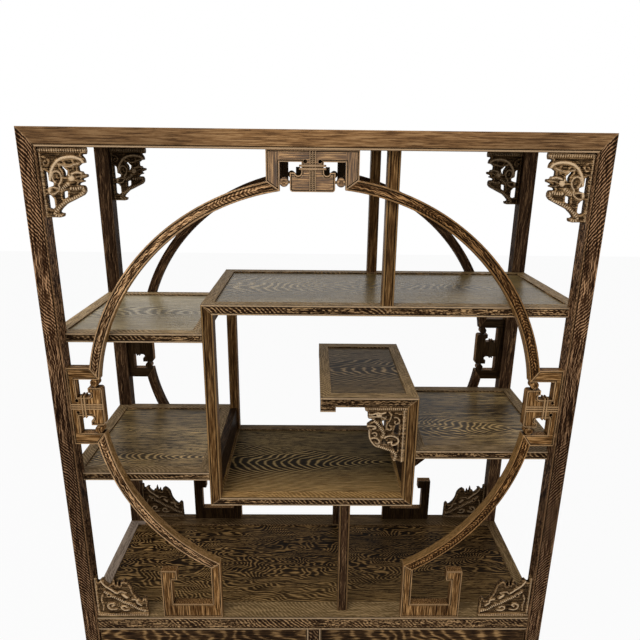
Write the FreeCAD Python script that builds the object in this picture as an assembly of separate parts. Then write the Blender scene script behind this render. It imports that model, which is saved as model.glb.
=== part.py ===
import FreeCAD, Part
import math
import os

# Chinese book and curio cabinet, all lengths in millimetres.
# Origin on the floor at the middle of the footprint; +Z up, -Y is the front, +X is right.

# Whole cabinet
overall_width = 1000.0
overall_depth = 366.0
base_height = 841.0
display_height = 1009.0
post_size = 30.0
top_rail_height = 32.0

# Edge moulding worked along every visible rail, upright and arc
bead_width = 3.2
bead_chamfer = 0.8
quirk_width = 1.8
quirk_depth = 1.6
band_recess = 0.8

# Moon gate: the ring and its frets stand between the posts, in front of the shelves.
# The ring is as large as its opening allows, with these least spaces round it.
gate_setback = 4.0
gate_thickness = 18.0
ring_side_space = 38.0
ring_top_space = 43.5
ring_base_space = 69.5
ring_width = 20.0
ring_shift = -1.0
ring_arc_count = 4

# Key frets that tie the ring to the top rail and the posts
fret_length = 159.0
fret_stem_width = 23.0
fret_reach = 6.0
fret_pendant_width = 77.5
fret_neck_width = 38.0
fret_band_width = 46.5
fret_band_height = 8.4
fret_disc_overlap = 0.4
top_fret_shift = -8.5
top_fret_bar = 20.0
top_fret_pendant = 32.0
side_fret_bar = 14.5
side_fret_pendant = 26.0

# Frets that carry the ring's lower ends on the main deck
base_fret_shift = -5.0
base_fret_inner_share = 0.45
base_fret_side_space = 37.5
base_fret_stem = 19.5
base_fret_bar = 34.0
base_fret_height = 120.0
base_fret_outer_stem = 21.5
base_fret_hook_length = 11.5
base_fret_hook_height = 22.0

# Shelves: front and back rails, end rails, and a sunk panel tongued into them
shelf_border = 24.0
shelf_rail_height = 18.0
long_shelf_rail_height = 20.0
panel_sink = 3.0
panel_thickness = 8.0
tongue_length = 5.0
tongue_thickness = 4.0
batten_width = 30.0

# Shelf tops, measured down from the top of the cabinet
upper_right_drop = 308.0
upper_left_drop = 365.0
raised_drop = 494.5
mid_right_drop = 610.0
mid_left_drop = 662.0
box_floor_drop = 721.0

# Uprights, square to the shelf fronts
upright_width = 22.0
left_upright_x = -215.5
right_upright_x = 202.5
top_upright_x = 120.5
foot_upright_x = 51.5
raised_shelf_x = 8.7
tongue_depth = 5.0
cheek_thickness = 16.0
lip_width = 30.5
lip_drop = 10.0

# Pierced spandrels and the bracket below the raised shelf
spandrel_thickness = 14.0
upper_spandrel_width = 80.0
upper_spandrel_height = 117.0
lower_spandrel_width = 112.0
lower_spandrel_height = 102.0
bracket_width = 85.0
bracket_height_share = 0.59

# Main deck and the closed base below it
deck_setback = 2.0
deck_border = 45.0
deck_rail_height = 32.0
deck_panel_thickness = 12.0
floor_clearance = 110.0
base_rail_height = 32.0
base_rail_depth = 24.0
base_panel_thickness = 8.0
board_thickness = 12.0
apron_height = 42.0
apron_thickness = 12.0
apron_rise = 20.0
apron_leg_width = 26.0

# Drawers
drawer_opening_height = 135.0
divider_width = 30.0
front_setback = 6.0
front_gap = 1.5
drawer_front_thickness = 18.0
drawer_wall = 12.0
drawer_bottom_thickness = 6.0
drawer_box_height = 100.0
drawer_depth = 290.0
guide_gap = 0.5
slide_gap = 0.3

# Doors, each turning on round pins let into the rails above and below it
door_thickness = 20.0
door_frame_width = 48.0
door_panel_thickness = 8.0
door_panel_sink = 6.0
pin_radius = 4.0
pin_length = 9.0
pin_clearance = 0.05

# Brass drop pulls
plate_width = 36.0
plate_corner = 9.0
plate_thickness = 1.5
lug_width = 3.0
lug_height = 7.0
lug_reach = 8.0
lug_space = 8.6
pull_pin_radius = 1.5
pull_eye_width = 6.0
pull_side_gap = 0.3
pull_pin_height = 9.0
drop_length = 34.0
drop_width = 15.0
drop_thickness = 2.4

# One overrun serves every cut
overrun = 4.0

# Turns in degrees
QUARTER_TURN = 90
FULL_TURN = 360

# Outlines as shares of each piece's own width and height.
# A pair is the end of a straight edge; four values are an arc's middle and end.
upper_spandrel_shares = [
    (0.0, 0.0), (1.0, 0.0), (0.995, 0.098), (0.873, 0.103),
    (0.94, 0.145, 0.952, 0.218), (0.874, 0.228), (0.808, 0.265), (0.812, 0.335),
    (0.878, 0.338), (0.883, 0.37), (0.981, 0.377), (0.981, 0.414), (0.842, 0.451),
    (0.906, 0.466), (0.898, 0.484), (0.806, 0.503), (0.768, 0.533), (0.845, 0.532),
    (0.90, 0.54), (0.92, 0.585), (0.905, 0.635), (0.855, 0.674), (0.608, 0.758),
    (0.466, 0.804), (0.366, 0.865),
    (0.306, 0.918), (0.342, 0.937), (0.392, 0.94), (0.378, 0.986), (0.319, 1.0), (0.0, 1.0),
]
upper_spandrel_hole_shares = [
    [(0.425, 0.268), (0.475, 0.264), (0.572, 0.329), (0.571, 0.365), (0.492, 0.439),
     (0.506, 0.366), (0.486, 0.322)],
    [(0.08, 0.32), (0.15, 0.36), (0.17, 0.47), (0.25, 0.50), (0.24, 0.545), (0.08, 0.58)],
    [(0.08, 0.67), (0.16, 0.68), (0.22, 0.73), (0.225, 0.85), (0.16, 0.88), (0.08, 0.86)],
    [(0.43, 0.63), (0.53, 0.61), (0.52, 0.70), (0.42, 0.735)],
]
lower_spandrel_shares = [
    (0.0, 0.0), (0.985, 0.0), (0.978, 0.424), (0.944, 0.484), (0.905, 0.46), (0.874, 0.40),
    (0.771, 0.52, 0.703, 0.733), (0.65, 0.85, 0.566, 0.918), (0.507, 0.873), (0.492, 0.785),
    (0.469, 0.791), (0.453, 0.894), (0.435, 0.879), (0.423, 0.791), (0.403, 0.838),
    (0.375, 0.976), (0.338, 0.837), (0.307, 0.849), (0.269, 0.772), (0.225, 0.813),
    (0.183, 0.872), (0.207, 0.943), (0.151, 0.942), (0.082, 0.883), (0.064, 0.889),
    (0.063, 0.995), (0.0, 1.0),
]
lower_spandrel_hole_shares = [
    [(0.235, 0.553), (0.27, 0.517), (0.289, 0.601)],
]
bracket_shares = [
    (0.0, 0.0), (1.0, 0.0), (0.975, 0.068), (0.917, 0.092), (0.912, 0.187), (0.89, 0.211),
    (0.776, 0.218), (0.764, 0.242), (0.856, 0.275), (0.916, 0.315), (0.924, 0.372),
    (0.849, 0.412), (0.877, 0.469), (0.84, 0.61, 0.641, 0.73), (0.341, 0.795),
    (0.323, 0.903), (0.265, 0.97), (0.157, 0.99), (0.0, 1.0),
]
bracket_hole_shares = [
    [(0.58, 0.25), (0.48, 0.235), (0.50, 0.42)],
    [(0.18, 0.29), (0.17, 0.50), (0.293, 0.484), (0.262, 0.338)],
    [(0.56, 0.589), (0.50, 0.573), (0.407, 0.67), (0.56, 0.654)],
    [(0.293, 0.694), (0.19, 0.678), (0.20, 0.824), (0.273, 0.751)],
]
drop_shares = [
    (-0.22, 0.0), (-0.22, 0.30), (-0.50, 0.62), (-0.36, 0.86), (0.0, 1.0),
    (0.36, 0.86), (0.50, 0.62), (0.22, 0.30), (0.22, 0.0),
]

# Places that follow from the sizes above
half_width = overall_width / 2
half_depth = overall_depth / 2
top_z = base_height + display_height
deck_z = base_height
inner_x = half_width - post_size
inner_y = half_depth - post_size
rail_under_z = top_z - top_rail_height
gate_front_y = half_depth - gate_setback
shelf_front_y = gate_front_y - gate_thickness
shelf_inner_y = shelf_front_y - shelf_border
ring_radius = min(
    inner_x - ring_side_space,
    (display_height - top_rail_height - ring_top_space - ring_base_space) / 2,
)
ring_centre_z = rail_under_z - ring_top_space - ring_radius
ring_inner_radius = ring_radius - ring_width
fret_reach_radius = ring_inner_radius - fret_reach
base_fret_inner = ring_radius * base_fret_inner_share
base_fret_outer = inner_x - lower_spandrel_width - base_fret_side_space
bracket_room = box_floor_drop - raised_drop - long_shelf_rail_height
bracket_height = bracket_room * bracket_height_share
deck_under_z = deck_z - deck_rail_height
base_front_y = half_depth - deck_setback
drawer_floor_z = deck_under_z - drawer_opening_height
mid_rail_under_z = drawer_floor_z - base_rail_height
cabinet_floor_z = floor_clearance + base_rail_height
base_rail_inner_y = base_front_y - base_rail_depth
face_y = half_depth - front_setback
side_panel_x = half_width - deck_setback - (base_rail_depth + base_panel_thickness) / 2


def vec(x, y, z):
    return FreeCAD.Vector(x, y, z)


def block(x0, x1, y0, y1, z0, z1):
    return Part.makeBox(x1 - x0, y1 - y0, z1 - z0, vec(x0, y0, z0))


def prism(points, travel):
    wire = Part.makePolygon(points + [points[0]])
    return Part.Face(wire).extrude(travel)


def plan_prism(points, z0, z1):
    return prism([vec(x, y, z0) for x, y in points], vec(0, 0, z1 - z0))


def front_prism(points, y0, y1):
    return prism([vec(x, y0, z) for x, z in points], vec(0, y1 - y0, 0))


def side_prism(points, x0, x1):
    return prism([vec(x0, y, z) for y, z in points], vec(x1 - x0, 0, 0))


def even_corner(width):
    """Cut that turns a square of this width into an even octagon."""
    return width * (1 - math.sqrt(0.5))


def flip_x(shape):
    return shape.mirror(vec(0, 0, 0), vec(1, 0, 0))


def flip_y(shape):
    return shape.mirror(vec(0, 0, 0), vec(0, 1, 0))


def both_faces(shapes):
    """The pieces of the front and their copies at the back."""
    return shapes + [flip_y(shape) for shape in shapes]


def both_sides(shapes):
    return shapes + [flip_x(shape) for shape in shapes]


def save(name, shapes):
    solids = [solid for shape in shapes for solid in shape.Solids]
    body = solids[0] if len(solids) == 1 else Part.makeCompound(solids)
    body.exportStep("parts/" + name + ".step")


# Mouldings


def moulding(width):
    """Profile of a moulded face as (across, depth) points: a bead along each edge and a sunk band."""
    near = bead_width + quirk_width
    return [
        (0, bead_chamfer),
        (bead_chamfer, 0),
        (bead_width, 0),
        (bead_width + quirk_width / 2, quirk_depth),
        (near, band_recess),
        (width - near, band_recess),
        (width - bead_width - quirk_width / 2, quirk_depth),
        (width - bead_width, 0),
        (width - bead_chamfer, 0),
        (width, bead_chamfer),
    ]


def ring_moulding(width):
    """Profile of the ring's face: square-edged beads with a deeper band between them."""
    step = bead_width + quirk_width / 2
    return [
        (0, 0),
        (bead_width, 0),
        (step, quirk_depth),
        (width - step, quirk_depth),
        (width - bead_width, 0),
        (width, 0),
    ]


def moulding_waste(width):
    """What the moulding plane takes off a square face, closed outside the face."""
    return [(0, -overrun)] + moulding(width) + [(width, -overrun)]


def edge_waste(width):
    """What it takes off a plain face that has one bead, along the edge at width."""
    start = width - bead_width - quirk_width
    return [
        (start, -overrun),
        (start, 0),
        (start + quirk_width / 2, quirk_depth),
        (width - bead_width, 0),
        (width - bead_chamfer, 0),
        (width, bead_chamfer),
        (width, -overrun),
    ]


def rail_waste(points, z_edge, upward, x0, x1, front_y):
    """Waste along X on the front face at -front_y; across runs from z_edge."""
    turn = 1 if upward else -1
    return side_prism([(-front_y + d, z_edge + turn * a) for a, d in points], x0, x1)


def upright_waste(points, x_edge, rightward, z0, z1, front_y):
    turn = 1 if rightward else -1
    return plan_prism([(x_edge + turn * a, -front_y + d) for a, d in points], z0, z1)


# Mitres


def half_corner_front(x, z, dx, dz, along_x):
    """Triangle of the front face between a corner and its diagonal, cut from one member."""
    third = (x, z + dz) if along_x else (x + dx, z)
    points = [(x, z), (x + dx, z + dz), third]
    return front_prism(points, -half_depth - overrun, half_depth + overrun)


def half_corner_plan(x, y, dx, dy, along_x, z0, z1):
    third = (x, y + dy) if along_x else (x + dx, y)
    return plan_prism([(x, y), (x + dx, y + dy), third], z0 - overrun, z1 + overrun)


def half_corner_side(y, z, dy, dz, along_y, x0, x1):
    third = (y, z + dz) if along_y else (y + dy, z)
    return side_prism([(y, z), (y + dy, z + dz), third], x0 - overrun, x1 + overrun)


# Posts and top frame


def post():
    """Front left post: runs to the floor, with its head cut to a three-way mitre."""
    body = block(-half_width, -inner_x, -half_depth, -inner_y, 0, top_z)
    body = body.cut(
        half_corner_front(-half_width, top_z, post_size, -top_rail_height, False)
    )
    body = body.cut(
        half_corner_side(
            -half_depth, top_z, post_size, -top_rail_height, False, -half_width, -inner_x
        )
    )
    bead = edge_waste(post_size)
    return body.cut(upright_waste(bead, -half_width, True, 0, top_z, half_depth))


def top_front_rail():
    rail = block(-half_width, half_width, -half_depth, -inner_y, rail_under_z, top_z)
    ends = [
        half_corner_front(-half_width, top_z, post_size, -top_rail_height, True),
        half_corner_plan(
            -half_width, -half_depth, post_size, post_size, True, rail_under_z, top_z
        ),
    ]
    rail = rail.cut(both_sides(ends))
    bead = edge_waste(top_rail_height)
    rail = rail.cut(rail_waste(bead, top_z, False, -half_width, half_width, half_depth))
    return rail.cut(top_panel_tongue())


def top_end_rail():
    rail = block(-half_width, -inner_x, -half_depth, half_depth, rail_under_z, top_z)
    ends = [
        half_corner_side(
            -half_depth, top_z, post_size, -top_rail_height, True, -half_width, -inner_x
        ),
        half_corner_plan(
            -half_width, -half_depth, post_size, post_size, False, rail_under_z, top_z
        ),
    ]
    return rail.cut(both_faces(ends)).cut(top_panel_tongue())


def tongued_panel(x0, x1, y, top, thickness):
    """Flat panel with a thinner tongue all round, held in the rails' grooves."""
    body = block(x0, x1, -y, y, top - thickness, top)
    return body.fuse(panel_tongue(x0, x1, y, top, thickness)).removeSplitter()


def panel_tongue(x0, x1, y, top, thickness):
    middle = top - thickness / 2
    half = tongue_thickness / 2
    reach = y + tongue_length
    return block(
        x0 - tongue_length, x1 + tongue_length, -reach, reach, middle - half, middle + half
    )


def top_panel_tongue():
    return panel_tongue(-inner_x, inner_x, inner_y, top_z - panel_sink, panel_thickness)


def top_panel():
    return tongued_panel(-inner_x, inner_x, inner_y, top_z - panel_sink, panel_thickness)


# Shelves


class Shelf:
    """One shelf: two long rails, two end rails, a sunk panel.

    An end is "post" (notched round the posts), "butt" (against an upright, or free),
    "corner" (three-way mitre with the upright below it) or "box" (mitred to the upright above it).
    """

    def __init__(self, name, x0, x1, top, rail_height, left, right):
        self.name = name
        self.x = (x0, x1)
        self.top = top
        self.under = top - rail_height
        self.ends = (left, right)

    def border(self, side):
        return shelf_border if self.ends[side] == "post" else upright_width

    def inner(self, side):
        return self.x[side] + self.sign(side) * self.border(side)

    def sign(self, side):
        return 1 if side == 0 else -1

    def rail_end(self, side):
        """Plan points of the front rail at one end, from its front corner inwards."""
        x = self.x[side]
        if self.ends[side] == "post":
            edge = self.sign(side) * -inner_x
            return [
                (edge, -shelf_front_y),
                (edge, -inner_y),
                (x, -inner_y),
                (self.inner(side), -shelf_inner_y),
            ]
        if self.ends[side] == "box":
            return [(x, -shelf_front_y), (x, -shelf_inner_y)]
        return [(x, -shelf_front_y), (self.inner(side), -shelf_inner_y)]

    def end_rail(self, side):
        x = self.x[side]
        inside = self.inner(side)
        corner_y = {"post": inner_y, "box": shelf_inner_y}.get(self.ends[side], shelf_front_y)
        points = [
            (x, -corner_y),
            (inside, -shelf_inner_y),
            (inside, shelf_inner_y),
            (x, corner_y),
        ]
        rail = plan_prism(points, self.under, self.top)
        if self.ends[side] == "corner":
            run = self.x[side], inside
            cut = half_corner_side(
                -shelf_front_y, self.top, shelf_border, self.under - self.top, True,
                min(run), max(run),
            )
            rail = rail.cut(both_faces([cut]))
        return rail.cut(self.tongue())

    def front_rail(self):
        points = self.rail_end(0) + self.rail_end(1)[::-1]
        rail = plan_prism(points, self.under, self.top)
        height = self.top - self.under
        waste = moulding_waste(height)
        rail = rail.cut(rail_waste(waste, self.under, True, *self.x, shelf_front_y))
        for side in (0, 1):
            run = self.sign(side) * upright_width
            if self.ends[side] == "corner":
                rail = rail.cut(
                    half_corner_front(self.x[side], self.top, run, -height, True)
                )
            if self.ends[side] == "box":
                rail = rail.cut(
                    half_corner_front(self.x[side], self.under, run, height, True)
                )
        return rail.cut(self.tongue())

    def tongue(self):
        return panel_tongue(
            self.inner(0), self.inner(1), shelf_inner_y, self.top - panel_sink, panel_thickness
        )

    def panel(self):
        return tongued_panel(
            self.inner(0), self.inner(1), shelf_inner_y, self.top - panel_sink, panel_thickness
        )

    def battens(self, count):
        """Cross battens below the panel, evenly spaced between the end rails."""
        x0, x1 = self.inner(0), self.inner(1)
        z1 = self.top - panel_sink - panel_thickness
        made = []
        for k in range(count):
            x = x0 + (x1 - x0) * (k + 1) / (count + 1)
            half = batten_width / 2
            made.append(
                block(x - half, x + half, -shelf_inner_y, shelf_inner_y, self.under, z1)
            )
        return made

    def frame(self, front):
        return [front, flip_y(front), self.end_rail(0), self.end_rail(1)]


def drop(depth):
    return top_z - depth


upper_right = Shelf(
    "upper_right_shelf", left_upright_x, half_width, drop(upper_right_drop),
    long_shelf_rail_height, "corner", "post",
)
upper_left = Shelf(
    "upper_left_shelf", -half_width, left_upright_x, drop(upper_left_drop),
    shelf_rail_height, "post", "butt",
)
raised = Shelf(
    "raised_shelf", raised_shelf_x, right_upright_x, drop(raised_drop),
    long_shelf_rail_height, "butt", "corner",
)
mid_right = Shelf(
    "mid_right_shelf", right_upright_x, half_width, drop(mid_right_drop),
    shelf_rail_height, "butt", "post",
)
mid_left = Shelf(
    "mid_left_shelf", -half_width, left_upright_x, drop(mid_left_drop),
    shelf_rail_height, "post", "butt",
)
box_floor = Shelf(
    "box_floor", left_upright_x, right_upright_x, drop(box_floor_drop),
    shelf_rail_height, "box", "box",
)


def v_tongue(x0, z, upward):
    """Pointed shoulder that an upright lets into the face of the rail it stands on or hangs from."""
    turn = 1 if upward else -1
    points = [
        (x0, z),
        (x0 + upright_width, z),
        (x0 + upright_width / 2, z + turn * upright_width / 2),
    ]
    face = -shelf_front_y + band_recess
    return front_prism(points, face, face + tongue_depth)


def upper_right_frame():
    front = upper_right.front_rail().cut(v_tongue(top_upright_x, upper_right.top, False))
    return upper_right.frame(front)


def box_floor_frame():
    front = box_floor.front_rail().cut(v_tongue(foot_upright_x, box_floor.under, True))
    return box_floor.frame(front)


def raised_frame():
    """The raised shelf's rails, with a short lip below the free end of each long rail."""
    x0 = raised_shelf_x
    lip = block(
        x0, x0 + lip_width, -shelf_front_y, -shelf_inner_y, raised.under - lip_drop, raised.under
    )
    front = raised.front_rail().fuse(lip)
    return raised.frame(front)


# Uprights


def moulded_upright(x0, z0, z1):
    body = block(x0, x0 + upright_width, -shelf_front_y, -shelf_inner_y, z0, z1)
    waste = moulding_waste(upright_width)
    return body.cut(upright_waste(waste, x0, True, z0, z1, shelf_front_y))


def corner_upright(x0, outer_x, run, top, top_height, under, under_height):
    """Upright with a three-way mitre at its head and a plain mitre at its foot."""
    body = moulded_upright(x0, under, top)
    cuts = [
        half_corner_front(outer_x, top, run, -top_height, False),
        half_corner_side(
            -shelf_front_y, top, shelf_border, -top_height, False, x0, x0 + upright_width
        ),
        half_corner_front(outer_x, under, run, under_height, False),
    ]
    return body.cut(cuts)


def left_upright():
    return corner_upright(
        left_upright_x, left_upright_x, upright_width,
        upper_right.top, long_shelf_rail_height, box_floor.under, shelf_rail_height,
    )


def right_upright():
    return corner_upright(
        right_upright_x - upright_width, right_upright_x, -upright_width,
        raised.top, long_shelf_rail_height, box_floor.under, shelf_rail_height,
    )


def top_upright():
    body = moulded_upright(top_upright_x, upper_right.top, rail_under_z)
    return body.fuse(v_tongue(top_upright_x, upper_right.top, False))


def foot_upright():
    body = moulded_upright(foot_upright_x, deck_z, box_floor.under)
    return body.fuse(v_tongue(foot_upright_x, box_floor.under, True))


def box_cheeks():
    """Boards that close the sides of the sunk box up to the shelves beside it."""
    right = right_upright_x - cheek_thickness
    made = []
    for x, top in ((left_upright_x, mid_left.top), (right, mid_right.top)):
        made.append(
            block(x, x + cheek_thickness, -shelf_inner_y, shelf_inner_y, box_floor.top, top)
        )
    return made


# Moon gate


def circle_height(radius, x):
    return math.sqrt(radius * radius - x * x)


def place_gate(shape):
    """Moves a piece drawn round the ring's centre to its place in the front frame."""
    shape.translate(vec(ring_shift, 0, ring_centre_z))
    return shape


def ring_section():
    """Moulded section of the ring, on its right-hand side."""
    points = [
        (ring_inner_radius + a, -gate_front_y + d) for a, d in ring_moulding(ring_width)
    ]
    back = -shelf_front_y
    points = points + [(ring_radius, back), (ring_inner_radius, back)]
    wire = Part.makePolygon([vec(x, y, 0) for x, y in points + points[:1]])
    return Part.Face(wire)


def ring_arc(start, end):
    """Part of the ring between two angles, anticlockwise from +X seen from the front."""
    face = ring_section()
    face.rotate(vec(0, 0, 0), vec(0, 1, 0), -start)
    return face.revolve(vec(0, 0, 0), vec(0, 1, 0), start - end)


def fret_joint(x, side):
    """Ends of the mitre between a fret's stem and the ring: outer point, inner point."""
    outer = x + side * fret_length / 2
    inner = outer - side * fret_stem_width
    return [
        (outer, circle_height(ring_radius, outer)),
        (inner, circle_height(ring_inner_radius, inner)),
    ]


def fret_keepout(distance, x):
    """Block that trims the ring where a fret takes over, drawn as for the top fret."""
    left_outer, left_inner = fret_joint(x, -1)
    right_outer, right_inner = fret_joint(x, 1)
    high = distance + overrun
    low = ring_inner_radius - ring_width
    points = [
        (left_outer[0], high), left_outer, left_inner, (left_inner[0], low),
        (right_inner[0], low), right_inner, right_outer, (right_outer[0], high),
    ]
    return front_prism(points, -half_depth, -inner_y)


def fret(distance, x, bar, pendant):
    """Key fret hanging from a member at a distance from the ring's centre, drawn as for the top."""
    left_outer, left_inner = fret_joint(x, -1)
    right_outer, right_inner = fret_joint(x, 1)
    neck = fret_neck_width / 2
    half_pendant = fret_pendant_width / 2
    half_band = fret_band_width / 2
    bar_z = distance - bar
    pendant_z = fret_reach_radius + pendant
    band_z = (bar_z + pendant_z) / 2
    half_height = fret_band_height / 2
    outline = [
        (left_outer[0], distance), left_outer, left_inner, (left_inner[0], bar_z),
        (x - neck, bar_z), (x - neck, band_z + half_height),
        (x - half_band, band_z + half_height), (x - half_band, band_z - half_height),
        (x - neck, band_z - half_height), (x - neck, pendant_z),
        (x - half_pendant, pendant_z), (x - half_pendant, fret_reach_radius),
        (x + half_pendant, fret_reach_radius), (x + half_pendant, pendant_z),
        (x + neck, pendant_z), (x + neck, band_z - half_height),
        (x + half_band, band_z - half_height), (x + half_band, band_z + half_height),
        (x + neck, band_z + half_height), (x + neck, bar_z),
        (right_inner[0], bar_z), right_inner, right_outer, (right_outer[0], distance),
    ]
    body = front_prism(outline, -gate_front_y, -shelf_front_y)
    disc_z = fret_reach_radius + pendant / 2
    gap = fret_length / 2 - fret_stem_width - half_pendant
    discs = []
    for side in (-1, 1):
        centre = vec(x + side * (half_pendant + gap / 2), -gate_front_y, disc_z)
        discs.append(
            Part.makeCylinder(gap / 2 + fret_disc_overlap, gate_thickness, centre, vec(0, 1, 0))
        )
    return body.fuse(discs)


top_distance = rail_under_z - ring_centre_z
left_distance = inner_x + ring_shift
right_distance = inner_x - ring_shift


def turn_about_ring(shape, angle):
    shape.rotate(vec(0, 0, 0), vec(0, 1, 0), angle)
    return shape


def top_fret():
    body = fret(top_distance, top_fret_shift, top_fret_bar, top_fret_pendant)
    return place_gate(body)


def side_frets():
    left = fret(left_distance, 0, side_fret_bar, side_fret_pendant)
    right = fret(right_distance, 0, side_fret_bar, side_fret_pendant)
    return [
        place_gate(turn_about_ring(left, -QUARTER_TURN)),
        place_gate(turn_about_ring(right, QUARTER_TURN)),
    ]


def base_joint(side):
    """Mitre between the ring's lower end and the base fret's inner stem, about the ring's centre."""
    inner = side * base_fret_inner + base_fret_shift - ring_shift
    outer = inner + side * base_fret_stem
    return [
        (outer, -circle_height(ring_radius, outer)),
        (inner, -circle_height(ring_inner_radius, inner)),
    ]


def base_keepout():
    """Trims the ring's lower ends at their mitres and opens the ring between them."""
    left_outer, left_inner = base_joint(-1)
    right_outer, right_inner = base_joint(1)
    low = -ring_radius - overrun
    high = -ring_inner_radius / 2
    points = [
        (left_outer[0], low), left_outer, left_inner, (left_inner[0], high),
        (right_inner[0], high), right_inner, right_outer, (right_outer[0], low),
    ]
    return front_prism(points, -half_depth, -inner_y)


def ring_arcs():
    """Arcs of the front ring, cut to their mitres."""
    cuts = [
        fret_keepout(top_distance, top_fret_shift),
        turn_about_ring(fret_keepout(left_distance, 0), -QUARTER_TURN),
        turn_about_ring(fret_keepout(right_distance, 0), QUARTER_TURN),
        base_keepout(),
    ]
    arcs = []
    step = FULL_TURN / ring_arc_count
    for k in range(ring_arc_count):
        arcs.append(place_gate(ring_arc(k * step, (k + 1) * step).cut(cuts)))
    return arcs


def base_fret(side):
    """Key fret standing on the deck: inner stem under the ring, foot bar, outer stem with a hook."""
    joint = base_joint(side)
    inner = side * base_fret_inner + base_fret_shift
    outer = side * base_fret_outer + base_fret_shift
    stem = inner + side * base_fret_stem
    far = outer - side * base_fret_outer_stem
    hook = far - side * base_fret_hook_length
    top = deck_z + base_fret_height
    hook_z = top - base_fret_hook_height
    bar_z = deck_z + base_fret_bar
    outline = [
        (inner, deck_z), (outer, deck_z), (outer, top), (hook, top), (hook, hook_z),
        (far, hook_z), (far, bar_z), (stem, bar_z),
        (stem, ring_centre_z + joint[0][1]), (inner, ring_centre_z + joint[1][1]),
    ]
    return front_prism(outline, -gate_front_y, -shelf_front_y)


# Pierced spandrels


def share_face(shares, width, height, scale_x, scale_z):
    """Flat face from an outline given in shares, with straight edges and three-point arcs."""
    place = lambda a, b: vec(a * width * scale_x, 0, b * height * scale_z)
    edges = []
    last = place(*shares[0])
    for entry in shares[1:]:
        end = place(*entry[-2:])
        if len(entry) == 4:
            edges.append(Part.Arc(last, place(*entry[:2]), end).toShape())
        else:
            edges.append(Part.LineSegment(last, end).toShape())
        last = end
    start = place(*shares[0])
    if (last - start).Length > pin_clearance:
        edges.append(Part.LineSegment(last, start).toShape())
    return Part.Face(Part.Wire(edges))


def pierced(shares, holes, width, height, scale_x, scale_z):
    """Pierced board in the XZ plane with its corner at the origin, its front face forward."""
    depth = vec(0, spandrel_thickness, 0)
    body = share_face(shares, width, height, scale_x, scale_z).extrude(depth)
    cuts = [
        share_face(hole, width, height, scale_x, scale_z).extrude(depth) for hole in holes
    ]
    return body.cut(cuts)


def upper_spandrel():
    body = pierced(
        upper_spandrel_shares, upper_spandrel_hole_shares,
        upper_spandrel_width, upper_spandrel_height, 1, -1,
    )
    body.translate(vec(-inner_x, -gate_front_y, rail_under_z))
    return body


def lower_spandrel():
    body = pierced(
        lower_spandrel_shares, lower_spandrel_hole_shares,
        lower_spandrel_width, lower_spandrel_height, 1, 1,
    )
    body.translate(vec(-inner_x, -gate_front_y, deck_z))
    return body


def shelf_bracket():
    body = pierced(
        bracket_shares, bracket_hole_shares, bracket_width, bracket_height, -1, -1
    )
    body.translate(vec(right_upright_x - upright_width, -shelf_front_y, raised.under))
    return body


# Main deck


def deck_front_rail():
    inside = half_width - shelf_border
    points = [
        (-inner_x, -base_front_y), (-inner_x, -inner_y), (-half_width, -inner_y),
        (-inside, deck_border - base_front_y), (inside, deck_border - base_front_y),
        (half_width, -inner_y), (inner_x, -inner_y), (inner_x, -base_front_y),
    ]
    rail = plan_prism(points, deck_under_z, deck_z)
    waste = moulding_waste(deck_rail_height)
    rail = rail.cut(rail_waste(waste, deck_under_z, True, -inner_x, inner_x, base_front_y))
    return rail.cut(deck_tongue())


def deck_end_rail():
    inside = half_width - shelf_border
    inner = base_front_y - deck_border
    points = [
        (-half_width, -inner_y), (-inside, -inner), (-inside, inner), (-half_width, inner_y)
    ]
    return plan_prism(points, deck_under_z, deck_z).cut(deck_tongue())


def deck_tongue():
    inside = half_width - shelf_border
    return panel_tongue(
        -inside, inside, base_front_y - deck_border, deck_z - panel_sink, deck_panel_thickness
    )


def deck_panel():
    inside = half_width - shelf_border
    return tongued_panel(
        -inside, inside, base_front_y - deck_border, deck_z - panel_sink, deck_panel_thickness
    )


def panel_battens():
    """Cross battens under the wide panels: three under the deck, two under the long shelf."""
    inside = half_width - shelf_border
    inner = base_front_y - deck_border
    z1 = deck_z - panel_sink - deck_panel_thickness
    half = batten_width / 2
    made = []
    for k in (-1, 0, 1):
        x = k * inside / 2
        made.append(block(x - half, x + half, -inner, inner, deck_under_z, z1))
    return made + upper_right.battens(2) + box_floor.battens(1)


# Base frame


def base_rail(under, top):
    """Moulded rail across the front between the posts."""
    rail = block(-inner_x, inner_x, -base_front_y, -base_rail_inner_y, under, top)
    waste = moulding_waste(top - under)
    return rail.cut(rail_waste(waste, under, True, -inner_x, inner_x, base_front_y))


def pivot_x():
    return inner_x - front_gap - door_thickness / 2


def pivot_y():
    return -(face_y - door_thickness / 2)


def pin_bores():
    """Sockets for the door pins in the rails above and below the doors."""
    depth = pin_length + front_gap
    radius = pin_radius + pin_clearance
    sockets = []
    for z in (cabinet_floor_z - depth, mid_rail_under_z):
        sockets.append(
            Part.makeCylinder(radius, depth, vec(pivot_x(), pivot_y(), z), vec(0, 0, 1))
        )
    return both_sides(sockets)


def base_front_rails():
    sockets = pin_bores()
    bottom = base_rail(floor_clearance, cabinet_floor_z).cut(sockets)
    middle = base_rail(mid_rail_under_z, drawer_floor_z).cut(sockets)
    return [bottom, middle]


def base_back_rails():
    return [
        flip_y(base_rail(floor_clearance, cabinet_floor_z)),
        flip_y(base_rail(mid_rail_under_z, drawer_floor_z)),
    ]


def base_end_rails():
    made = []
    for z0, z1 in ((floor_clearance, cabinet_floor_z), (mid_rail_under_z, drawer_floor_z)):
        made.append(
            block(
                deck_setback - half_width, deck_setback - half_width + base_rail_depth,
                -inner_y, inner_y, z0, z1,
            )
        )
    return both_sides(made)


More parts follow.
